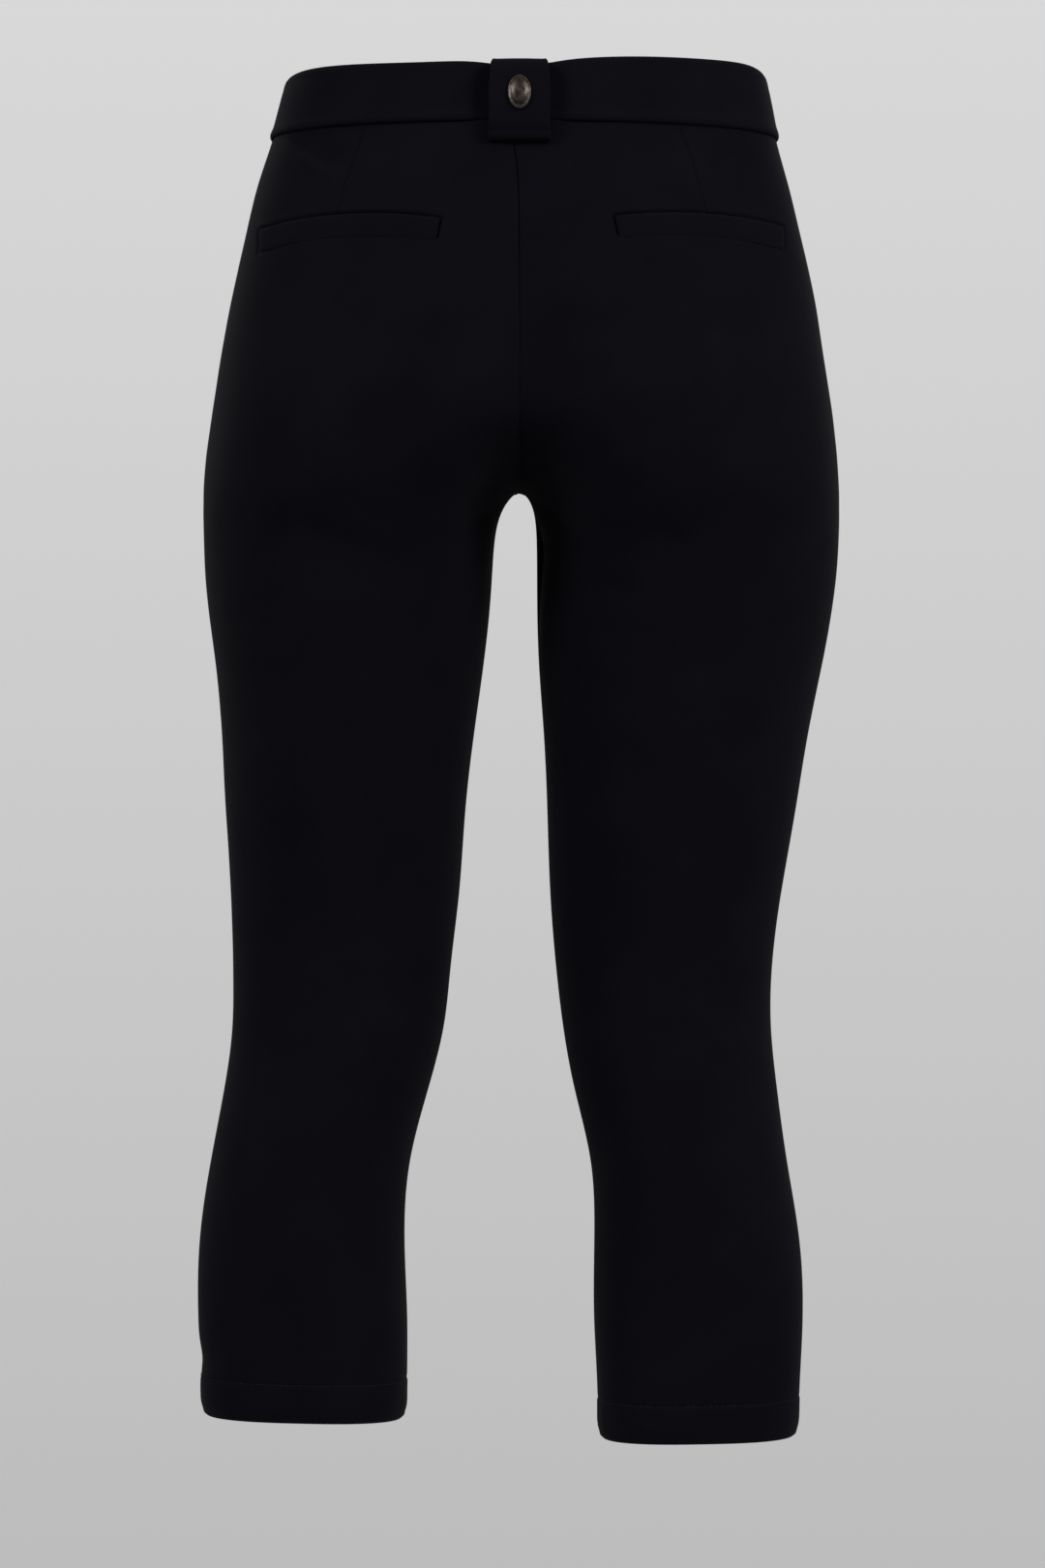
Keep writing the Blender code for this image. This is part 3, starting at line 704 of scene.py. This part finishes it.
def speed(leg, face, w, z, z_ahead):
    """Millimetres of cloth for each unit of w, from w at z to a short step ahead at z_ahead."""
    step = surface(leg, face, w + SPEED_STEP, z_ahead) - surface(leg, face, w, z)
    return np.linalg.norm(step, axis=1) / SPEED_STEP


def share_at(leg, target, z):
    """w on the back panel where x reaches the target at each height."""
    low, high = np.full(z.shape, 0.02), np.full(z.shape, 0.98)
    for _ in range(22):
        w = (low + high) / 2
        short = surface(leg, "back", w, z)[..., 0] < target
        low, high = np.where(short, w, low), np.where(short, high, w)
    return w


def middle_line(leg, face, inner, outer):
    """w of each row's middle line, which is the dart's line on a back."""
    middle = np.full(inner.shape, PLAIN_MIDDLE)
    if face == "front":
        return middle
    dart_heights, left_x, right_x = np.array(DARTS, float).T
    heights = np.linspace(WAIST_SEAM + 1, DART_LOWEST, 70)
    dart_x = np.interp(-heights, -dart_heights, left_x if leg == "left" else right_x)
    shares = share_at(leg, dart_x, heights)
    for _ in range(4):
        middle = np.interp(-row_height(inner, outer, middle), -heights, shares)
    last = np.argmin(np.abs(inner - DART_LINE_END))
    return np.where(inner < DART_LINE_END, middle[last], middle)


def panel_columns(leg, face, inner, outer):
    """w of every point, and its distance from the centre seam or inseam, side seam and middle line."""
    before_end = 1 - SPEED_STEP
    start_speed = speed(leg, face, 0.0, inner, row_height(inner, outer, SPEED_STEP))
    end_speed = speed(leg, face, before_end, row_height(inner, outer, before_end), outer)
    middle = middle_line(leg, face, inner, outer)
    middle_z = row_height(inner, outer, middle)
    middle_speed = speed(leg, face, middle, middle_z, middle_z)
    first, last = SEAM_GAP / 2 / start_speed, 1 - SEAM_GAP / 2 / end_speed
    dart = (DART_PLACE - DART_MARGIN, DART_PLACE + DART_MARGIN)
    knots = np.array([0, SEAM_MARGIN, *dart, ACROSS - SEAM_MARGIN, ACROSS])
    knot_w = [
        first,
        first + SEAM_MARGIN / start_speed,
        middle - DART_MARGIN / middle_speed,
        middle + DART_MARGIN / middle_speed,
        last - SEAM_MARGIN / end_speed,
        last,
    ]
    knot_w = np.stack(knot_w, axis=1)
    features = [(0, 0.28), (ACROSS, 0.28)]
    if face == "back":
        # Finer columns at the dart, beside it and at both ends of the pocket
        features += [(DART_PLACE, 0.3)] + [(DART_PLACE + beside, 0.9) for beside in BESIDE_DART]
        outer_x, inner_x = WELTS[leg][:2]
        for x, z in ((abs(inner_x), INNER_END_HEIGHT), (abs(outer_x), OUTER_END_HEIGHT)):
            end_w = share_at(leg, np.array(x), np.array(z))
            row = np.argmin(np.abs(row_height(inner, outer, end_w) - z))
            features.append((float(np.interp(end_w, knot_w[row], knots)), 0.55))
    scale = stations(0, ACROSS, COLUMN_STEP, features)
    w = np.array([np.interp(scale, knots, row) for row in knot_w])
    from_start, from_end = w - w[:, :1], w[:, -1:] - w
    from_middle = (w - middle[:, None]) * middle_speed[:, None]
    return w, from_start * start_speed[:, None], from_end * end_speed[:, None], from_middle


# -------- relief of the panels
# Depth and width of a seam's groove and of the roll round it, and of the slight ridge beside them
SEAM_GROOVE, SEAM_ROLL, SEAM_RIDGE = (0.45, 0.8), (0.2, 3.0), (0.16, 3.5)
RIDGE_PLACE = 6.0
# How much finer the centre seam is, and where above its groove is deep again, just below the band
CENTRE_SEAM_FINER, FINER_FROM = 0.3, CROTCH + 4
DEEP_FROM, DEEP_RUN = -70.0, 36.0
# The centre back seam between the halves of the seat
SEAT_GROOVE, SEAT_ROLL = (1.8, 2.2), (0.7, 7.0)
SEAT_TOP, SEAT_TOP_RUN, SEAT_FOOT, SEAT_FOOT_RUN = -176.0, 32.0, -215.0, 10.0
WAIST_GROOVE = (0.5, 1.6)
# The hem: its groove, how its puckers come and go, and how the turn-up stands out, waves and rolls in
HEM_GROOVE, PUCKER_WAVES = (0.42, 0.9), (0.83, 0.31)
TURN_UP_RISE, TURN_UP_SWELL, SWELL_WAVE = 0.32, 0.12, 0.35
SWELL_MIDDLE, SWELL_WIDTH = 12.0, 7.0
FOLD_ROLL, FOLD_ROLL_RUN, FOLD_DRAW, FOLD_DRAW_RUN = 0.9, 1.4, 1.6, 10.0
DART_GROOVE, DART_ROLL, DART_FOOT = (0.6, 0.6), (0.25, 3.5), -72.0
# How deep the cloth sinks under a welt, and how much its lip above the opening stands out
POCKET_SINK, LIP_RISE, LIP_PLACE, LIP_WIDTH = 1.7, 0.3, -3.2, 2.0
# Slow unevenness, none at the edges and all of it CALM_RUN from them
UNEVEN_DEPTH, CALM_RUN = 0.34, 30.0


def seam_relief(near, height, finer=0.0):
    """A seam's groove, roll and ridge, which are all slighter where it is finer."""
    depth, width = SEAM_GROOVE
    relief = groove(near, depth - finer * (0.5 - smooth((height - DEEP_FROM) / DEEP_RUN)), width - finer)
    relief += groove(near, SEAM_ROLL[0] - finer / 2, SEAM_ROLL[1])
    return relief - groove(near - RIDGE_PLACE, SEAM_RIDGE[0] - finer / 3, SEAM_RIDGE[1])


def seat_relief(from_start, height):
    """The centre back seam sinks between the halves of the seat, just above the crotch."""
    low = smooth((SEAT_TOP - height) / SEAT_TOP_RUN) * smooth((height - SEAT_FOOT) / SEAT_FOOT_RUN)
    return low * (groove(from_start, *SEAT_GROOVE) + groove(from_start, *SEAT_ROLL))


def hem_relief(from_hem, s, seed):
    """The hem's groove with its puckers, the thicker turn-up and its folded edge."""
    above_stitch = from_hem - HEM_DEPTH
    quick, slow = PUCKER_WAVES
    pucker = 1 + 0.5 * np.sin(s * quick + seed) * np.sin(s * slow + 2 * seed)
    swell = TURN_UP_SWELL * np.sin(s * SWELL_WAVE + seed) * ridge(from_hem - SWELL_MIDDLE, SWELL_WIDTH)
    relief = groove(above_stitch, *HEM_GROOVE) * pucker - smooth(-above_stitch / 3) * swell
    relief -= TURN_UP_RISE * smooth(-above_stitch / 2.5) * smooth(from_hem / 1.6)
    relief += FOLD_ROLL * (1 - smooth(from_hem / FOLD_ROLL_RUN)) ** 2
    return relief + FOLD_DRAW * (1 - smooth(from_hem / FOLD_DRAW_RUN)) ** 1.5


def dart_relief(from_dart, from_top, height):
    """The dart's line from the waist seam to its foot at the pocket."""
    in_dart = smooth((height - DART_FOOT) / 4) * smooth((from_top - 0.5) / 3)
    return in_dart * (groove(from_dart, *DART_GROOVE) + groove(from_dart, *DART_ROLL))


def opening_height(leg, share):
    """Height of a pocket's opening, by the share of the way from its outer to its inner end."""
    outer_z, middle_z, inner_z = WELTS[leg][2:]
    straight = outer_z * (1 - share) + inner_z * share
    return straight + 4 * share * (1 - share) * (middle_z - (outer_z + inner_z) / 2)


def pocket_relief(leg, x, z):
    """The panel sinks under its welt and has a slight lip above the opening."""
    high_x, low_x = (abs(end_x) for end_x in WELTS[leg][:2])
    below = opening_height(leg, np.clip((high_x - x) / (high_x - low_x), 0, 1)) - z
    slanted = low_x + WELT_SLANT * np.clip(below / WELT_HEIGHT, 0, 1)
    inside = smooth((x - slanted + 1.3) / 1.3) * smooth((high_x - x + 1.5) / 2.0)
    window = smooth((below + 1.5) / 1.1) * smooth((WELT_HEIGHT + 0.3 - below) / 3.6)
    return inside * (POCKET_SINK * window - groove(below - LIP_PLACE, LIP_RISE, LIP_WIDTH))


def panel_relief(leg, face, points, s, from_start, from_end, from_middle, from_hem):
    """How far every point of a panel lies inside the smooth cloth."""
    x, height = points[..., 0], points[..., 2]
    from_top = PANEL_TOP - height
    seed = {"left": 1, "right": 5}[leg] + {"back": 0, "front": 2}[face]
    inward = folds(BIG_FOLDS[leg, face], x, height) + folds(CREASES[leg, face], s, height)
    inward *= smooth((from_top + 1) / 5)
    calm = UNEVEN_DEPTH
    for from_edge in (from_start, from_end, from_top, from_hem):
        calm = calm * smooth(from_edge / CALM_RUN)
    inward += uneven(s, height, seed) * calm
    # Above the crotch the seam at the start is the centre seam, a finer line than the others
    finer = CENTRE_SEAM_FINER * smooth((height - FINER_FROM) / 10)
    inward += seam_relief(from_start, height, finer) + seam_relief(from_end, height)
    inward += groove(from_top, *WAIST_GROOVE) + hem_relief(from_hem, s, seed)
    if face == "back":
        inward += seat_relief(from_start, height) + dart_relief(from_middle, from_top, height)
        inward += pocket_relief(leg, x, height)
    return inward


def keep_apart(face, points, middle_y, crotch_row):
    """Moves a panel's points to its own side of the centre seam and of the inseam, in place."""
    gap = SEAM_GAP / 2
    row = np.arange(len(points))
    away = points[:, 0, 1] - middle_y
    kept = np.maximum(away, gap) if face == "back" else np.minimum(away, -gap)
    points[:, 0, 1] = np.where(row >= crotch_row, middle_y + kept, points[:, 0, 1])
    points[:, 0, 0] = np.where(row <= crotch_row, gap, points[:, 0, 0])
    points[..., 0] = np.maximum(points[..., 0], gap)


def panel(leg, face):
    """One leg's back or front, from the waist seam to the hem."""
    inner, outer, crotch_row = panel_rows(leg, face)
    w, from_start, from_end, from_middle = panel_columns(leg, face, inner, outer)
    hem, lifted = HEM[leg], hem_lift(leg, w)
    height = row_height(inner[:, None], outer[:, None], w)
    height = height + lifted * (1 - smooth((height - hem) / HEM_LIFT_RUN))
    from_hem = height - hem - lifted
    points = surface(leg, face, w, height)
    s = np.array([walked(row) for row in points])
    inward = panel_relief(leg, face, points, s, from_start, from_end, from_middle, from_hem)
    points = points - outward(leg, points) * inward[..., None]
    keep_apart(face, points, tube(leg, inner)[2], crotch_row)
    points = mirrored(leg, points)
    if face == "back":
        swing = SEAM_BEND * np.exp(-np.maximum(LOOP_PATH[-1][0] - height, 0) / SEAM_SETTLES)
        points[..., 0] += swing * ridge(points[..., 0], SEAM_BEND_WIDTH)
    faces = grid_faces(points, 1.0 if face == "back" else -1.0)
    cloth_piece(f"{face}_{leg}", points, faces, uv_grid(s, height), thickness=CLOTH)


# -------- waistband
BAND_STEP = 0.8  # degrees
# The band sinks beside the loop that pulls on it
BAND_SINK, BAND_SINK_WIDTH = 2.6, 9.0
BAND_UNEVEN = 0.28
# The first and last sections close in round the profile's middle, which rounds the band's ends
BAND_MIDDLE = -0.1
END_CLOSE, NEXT_CLOSE = 0.55, 0.85


def waistband(leg):
    """Half of the band, from the centre back to the lap or underlap at the front."""
    half = float(section(leg + "_out", np.array(0.0)))
    end_x = -UNDERLAP_END if leg == "left" else LAP_END
    start = np.degrees(np.arcsin(SEAM_GAP / 2 / half))
    end = 180 + np.degrees(np.arcsin(end_x / half))
    directions = SIGN[leg] * stations(start, end, BAND_STEP, [(start, 0.15), (end, 0.1)])
    top = curve(*np.array(BAND_TOP, float).T, (directions + 180) % 360 - 180)
    shares, offsets = np.array(BAND_PROFILE, float).T
    points, normals = around(directions[:, None], WAIST_SEAM + shares * (top[:, None] - WAIST_SEAM))
    x, y = points[..., 0], points[..., 1]
    run = directions * BAND_RUN
    sunk = BAND_SINK * ridge(np.maximum(np.abs(x) - LOOP_WIDTH / 2, 0), BAND_SINK_WIDTH) * (y > 0)
    seed = 3 if leg == "left" else 8
    wavy = BAND_UNEVEN * uneven(run[:, None], shares[None, :] * 40, seed) * (offsets > 0.3)
    close = np.ones(len(run))
    close[[1, -2]], close[[0, -1]] = NEXT_CLOSE, END_CLOSE
    spread = BAND_MIDDLE + (offsets + wavy - sunk - BAND_MIDDLE) * close[:, None]
    if leg == "right":
        lift = LAP_RAISE * smooth((x[:, :1] - LAP_START) / (LAP_FULL - LAP_START)) * (y[:, :1] < 0)
        # The inner face stays on the panel until the lap is at its full height
        outer = np.clip((offsets - BAND_INNER_FACE) / 2.5, 0, 1)
        spread = spread + lift * np.maximum(outer, smooth((x - LAP_FULL) / 3))
    points = points + normals * spread[..., None]
    around_it = walked(np.stack([shares * BAND_HEIGHT, offsets], axis=1))
    faces = sweep_faces(*points.shape[:2], turned=leg == "left")
    cloth_piece(f"waistband_{leg}", points, faces, uv_grid(run[:, None], around_it))


# -------- belt loop and stud
def loop_profile():
    """Across the strip: a fold rolled over at each edge, a slight dish outside, and the inside flatter."""
    half = LOOP_WIDTH / 2
    edge, face = [], []
    for angle in np.linspace(0, np.pi / 2, 5):
        edge.append((half - LOOP_ROLL + LOOP_ROLL * np.cos(angle), LOOP_ROLL * np.sin(angle)))
    for share in LOOP_FACE_SHARES:
        dish = LOOP_DISH * (np.cos(share * 3) - smooth((1 - share) / 0.2))
        face.append((half * share, LOOP_ROLL + dish))
    outer = edge + face
    outer = outer + [(-a, b) for a, b in outer[::-1]]
    inner = [(a, -b * INSIDE_FLATTER - INSIDE_CORE) for a, b in outer[::-1]][1:-1]
    return np.array(outer + inner)


def belt_loop():
    """The wide loop at the centre back, over the band and down past its seam."""
    heights, offsets = np.array(LOOP_PATH, float).T
    places = walked(np.array(LOOP_PATH, float))
    run = np.linspace(0, places[-1], 110)
    heights, offsets = curve(places, heights, run), curve(places, offsets, run)
    under = np.minimum(heights, CLOTH_CEILING)
    cloth_y = at(np.zeros(len(heights)), under, "back")[0][:, 1]
    y = cloth_y + offsets
    along = unit(np.stack([np.gradient(heights), np.gradient(y)], axis=1))
    across, rise = loop_profile().T
    sag = at(across[None, :], under[:, None], "back")[0][..., 1] - cloth_y[:, None]
    tight = 1 - INSIDE_THINNER * smooth((heights - 4) / 8) * (offsets < 3)
    shift = rise * tight[:, None]
    widen = 1 + 0.008 * np.sin(run * 0.21 + 1) - groove(heights - TOP_FOLD, TOP_PINCH, 1.7)
    widen = widen - UPPER_TAPER * smooth((heights + 4) / 16) + FOOT_FLARE * smooth((-24 - heights) / 4)
    points = np.zeros((len(heights), len(across), 3))
    points[..., 0] = across * widen[:, None]
    points[..., 1] = y[:, None] + sag - shift * along[:, :1]
    points[..., 2] = heights[:, None] + shift * along[:, 1:]
    faces = sweep_faces(*points.shape[:2])
    cloth_piece("belt_loop", points, faces, uv_grid(across, run[:, None]))


def loop_stud():
    """The plain oval stud, which leans with the cloth behind it."""
    ends = STUD_MIDDLE + np.array([-0.5, 0.5]) * STUD_HEIGHT
    base = at(np.zeros(2), ends, "back")[0][:, 1]
    foot_y, lean = base.mean() + STUD_OFFSET, base[0] - base[1]
    turn = np.linspace(0, 2 * np.pi, 64, endpoint=False)
    rings = []
    for share, rise in STUD_RINGS:
        across = share * STUD_WIDTH / 2 * np.cos(turn)
        up = share * STUD_HEIGHT / 2 * np.sin(turn)
        rings.append(np.stack([across, foot_y + rise - up / STUD_HEIGHT * lean, STUD_MIDDLE + up], axis=1))
    obj = mesh_object("loop_stud_metal", rings, sweep_faces(len(rings), len(turn)), METAL)
    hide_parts("loop_stud")


# -------- welts and fly
def welt_line(leg, t):
    """x and height of the opening's edge, t from 0 at the outer end to 1 at the inner one."""
    outer_x, inner_x = WELTS[leg][:2]
    xs = outer_x + (inner_x - outer_x) * (t * 0.45 + 0.55 * t**1.8)
    return xs, opening_height(leg, (xs - outer_x) / (inner_x - outer_x))


def welt(leg):
    """A single welt, thickest at its upper edge and sunk at its foot and ends."""
    t = np.linspace(0.004, 0.996, 110)
    xs, opening = welt_line(leg, t)
    down, rise = np.array(WELT_PROFILE, float).T
    lean = SIGN[leg] * WELT_SLANT * (down / WELT_HEIGHT) * smooth(t * 2 - 1)[:, None]
    points, normals = at(xs[:, None] + lean, opening[:, None] - down, "back")
    whole = smooth(np.minimum(t, 1 - t) / WELT_END)[:, None]
    sag = WELT_UNEVEN * uneven(xs[:, None] * 1.3, down[None, :] * 2, 11) * (rise > 0)
    height = rise * (0.25 + 0.75 * whole) - 0.5 * (1 - whole) + sag * whole + WELT_LIFT
    points = points + normals * height[..., None]
    faces = sweep_faces(*points.shape[:2], turned=leg == "left")
    cloth_piece(f"welt_{leg}", points, faces, uv_grid(xs[:, None], down))


def fly_line(z, x, bottom, part):
    """x of a J-shaped line at each height: straight, then part of a quarter oval."""
    turn = np.clip((FLY_STRAIGHT_END - z) / (FLY_STRAIGHT_END - bottom), 0, 1)
    return x * np.sqrt(np.maximum(1 - (turn * part) ** 2, 0))


def fly_front():
    """The fly's flap at the centre front, flat along its stitched edge."""
    zs = -stations(0.2 - PANEL_TOP, -FLY_END, 2.2, [(-WAIST_SEAM, 0.3), (-FLY_END, 0.3)])
    width = FLY_EDGE - FLY_STITCH
    share = stations(0, width, 1.4, [(0, 0.2), (width, 0.2)]) / width
    stitch = fly_line(zs, FLY_STITCH, FLY_END, 0.995)
    xs = FLY_EDGE + (stitch - FLY_EDGE)[:, None] * share
    points, normals = at(xs, zs[:, None], "front")
    from_edge = np.abs(xs - FLY_EDGE)
    from_stitch = np.minimum(np.abs(xs - stitch[:, None]), np.abs(zs[:, None] - FLY_END) * 1.2)
    rise = FLY_RISE - FLY_EDGE_DROP * (1 - smooth(from_edge / 1.3))
    rise -= FLY_STITCH_DROP * (1 - smooth(from_stitch / 1.6))
    rise -= groove(from_stitch - STITCH_INSET, *FLY_GROOVE)
    rise += FLY_UNEVEN * uneven(xs * 1.5, zs[:, None] * 1.5, 6)
    points = points + normals * rise[..., None]
    faces = grid_faces(points, -1.0)
    cloth_piece("fly_front", points, faces, uv_grid(xs, zs[:, None]), thickness=FLY_CLOTH)


# -------- stitches
def stitches(name, line, normals, stitch, thread):
    """Short rounded threads laid end to end along a line of points, joined in one mesh."""
    length, gap, radius = stitch
    run = walked(line)

    def at_run(values, here):
        return np.array([np.interp(here, run, values[:, k]) for k in range(3)])

    turn = np.linspace(0, 2 * np.pi, STITCH_SIDES, endpoint=False)
    points, faces = [], []
    for start in np.arange(gap, run[-1] - length, length + gap):
        faces += sweep_faces(len(STITCH_RINGS), STITCH_SIDES, turned=True, first=len(points))
        for share, fat in STITCH_RINGS:
            here = start + share * length
            centre, up = at_run(line, here), at_run(normals, here)
            side = unit(np.cross(up, at_run(line, here + 0.3) - centre))
            centre = centre + up * radius * (0.9 * np.sin(share * np.pi) - 0.1)
            for a in turn:
                points.append(centre + (up * np.sin(a) + side * np.cos(a)) * radius * fat)
    mesh_object(name, points, faces, thread)


def hem_stitches(leg):
    """Stitches at the bottom of the hem's groove, along the back and on round the front."""
    w = np.linspace(0.01, 0.99, 120)
    z = HEM[leg] + HEM_DEPTH + hem_lift(leg, w)
    line = np.concatenate([surface(leg, "back", w, z), surface(leg, "front", w[::-1], z[::-1])])
    normals = outward(leg, line)
    line = mirrored(leg, line - normals * HEM_GROOVE[0])
    stitches(f"hem_stitches_{leg}", line, mirrored(leg, normals), TOP_STITCH, THREAD)


def welt_stitches(leg):
    xs, opening = welt_line(leg, np.linspace(0.03, 0.97, 140))
    points, normals = at(xs, opening - WELT_HEIGHT + 0.9, "back")
    stitches(f"welt_{leg}_stitches", points + normals * 0.1, normals, WELT_STITCH, FINE_THREAD)


def fly_stitches():
    """One line of stitches inside the flap's edge, 3 mm above its end."""
    zs = np.linspace(WAIST_SEAM - 1.5, FLY_END + 1.2, 160)
    xs = fly_line(zs, FLY_STITCH + STITCH_INSET, FLY_END + 3, 0.99)
    points, normals = at(xs, zs, "front")
    stitches("fly_stitches_0", points + normals * 1.35, normals, TOP_STITCH, THREAD)


# -------- build it
PANELS = [f"{face}_{leg}" for face in FACES for leg in LEGS]
OTHER_CLOTH = ["waistband_left", "waistband_right", "welt_left", "welt_right", "belt_loop", "fly_front"]
# Panels with painted shade towards the inseam, on the right leg's inner side
INSEAM_SHADED = ("back_right", "front_right")
KNIT = {part: knit_material(part + "_cloth_knit", inseam_shade=part in INSEAM_SHADED) for part in PANELS + OTHER_CLOTH}
METAL = metal_material("stud_gunmetal")
THREAD = knit_material("black_thread", tone=3.2, sheen=0.02)
FINE_THREAD = knit_material("black_fine_thread", tone=1.7, sheen=0.01)

for leg in LEGS:
    for face in FACES:
        panel(leg, face)
    waistband(leg)
    hem_stitches(leg)
for leg in LEGS:
    welt(leg)
    welt_stitches(leg)
belt_loop()
loop_stud()
fly_front()
fly_stitches()


# -------- stage, light and camera, in metres
FLOOR_RADIUS, FLOOR_HEIGHT, FLOOR_GREY = 1.3, -1.02, 0.55
FLOOR_SIDES = 96
# Name, place, aim, size, power in watts and spread in degrees
LIGHTS = (
    ("key", (-2.3, 2.0, 1.3), (0, 0, -0.2), (1.0, 1.0), 20.3, 90),
    ("fill", (2.2, 1.8, 1.5), (0.1, 0, -0.03), (1.0, 1.0), 6.9, 60),
    ("front_fill", (2.0, -2.6, 0.9), (0, 0, -0.38), (1.2, 1.6), 22, 180),
    ("front_rim", (-1.4, -3.0, 0.9), (0, 0, -0.38), (1.2, 1.6), 13, 180),
    ("front_top", (0.0, -3.0, 1.7), (0, 0, -0.3), (0.8, 0.8), 55, 180),
)
# The studio's air from straight below to straight above: place and grey
AIR_GREYS = ((0.0, 0.12), (0.25, 0.22), (0.42, 0.49), (0.57, 0.69), (1.0, 0.85))
CAMERA_PLACE = (-0.00165, 3.2, -0.383)
SENSOR, LENS = 36.0, 129.3  # millimetres


def grey(value):
    return (value, value, value, 1)


def pale_floor():
    turn = np.linspace(0, 2 * np.pi, FLOOR_SIDES, endpoint=False)
    points = [(FLOOR_RADIUS * np.cos(a), FLOOR_RADIUS * np.sin(a), FLOOR_HEIGHT) for a in turn]
    mesh = bpy.data.meshes.new("floor")
    mesh.from_pydata(points, [], [tuple(range(FLOOR_SIDES))])
    material, _, shader = new_material("floor_paint")
    set_inputs(shader, {"Base Color": grey(FLOOR_GREY), "Roughness": 0.9, "Specular IOR Level": 0.1})
    mesh.materials.append(material)
    new_object("floor", mesh)


def area_light(name, place, aim, size, power, spread):
    light = bpy.data.lights.new(name, "AREA")
    light.shape = "RECTANGLE"
    light.size, light.size_y = size
    light.energy = power
    light.spread = np.radians(spread)
    obj = new_object(name, light)
    obj.location = place
    obj.rotation_euler = (Vector(aim) - Vector(place)).to_track_quat("-Z", "Y").to_euler()


def studio_air():
    """Pale air, brighter above than below."""
    world = bpy.data.worlds.new("studio")
    world.use_nodes = True
    tree = world.node_tree
    place, split = add_node(tree, "TexCoord"), add_node(tree, "SeparateXYZ")
    height = add_node(tree, "MapRange", {"From Min": -1.0, "From Max": 1.0})
    greys = add_ramp(tree, [(share, grey(value)) for share, value in AIR_GREYS])
    wire(place, "Generated", split, "Vector")
    wire(split, "Z", height, "Value")
    wire(height, "Result", greys, "Fac")
    wire(greys, "Color", tree.nodes["Background"], "Color")
    bpy.context.scene.world = world


def photo_camera():
    """The photograph's camera: level, and behind the wearer."""
    camera = bpy.data.cameras.new("photo_camera")
    camera.sensor_width = SENSOR
    camera.lens = LENS
    camera.clip_end = 30
    camera.dof.use_dof = False
    eye = new_object("photo_camera", camera)
    eye.location = CAMERA_PLACE
    eye.rotation_euler = (np.pi / 2, 0, np.pi)
    bpy.context.scene.camera = eye


pale_floor()
for light in LIGHTS:
    area_light(*light)
studio_air()
bpy.context.scene.view_settings.view_transform = "Standard"
photo_camera()
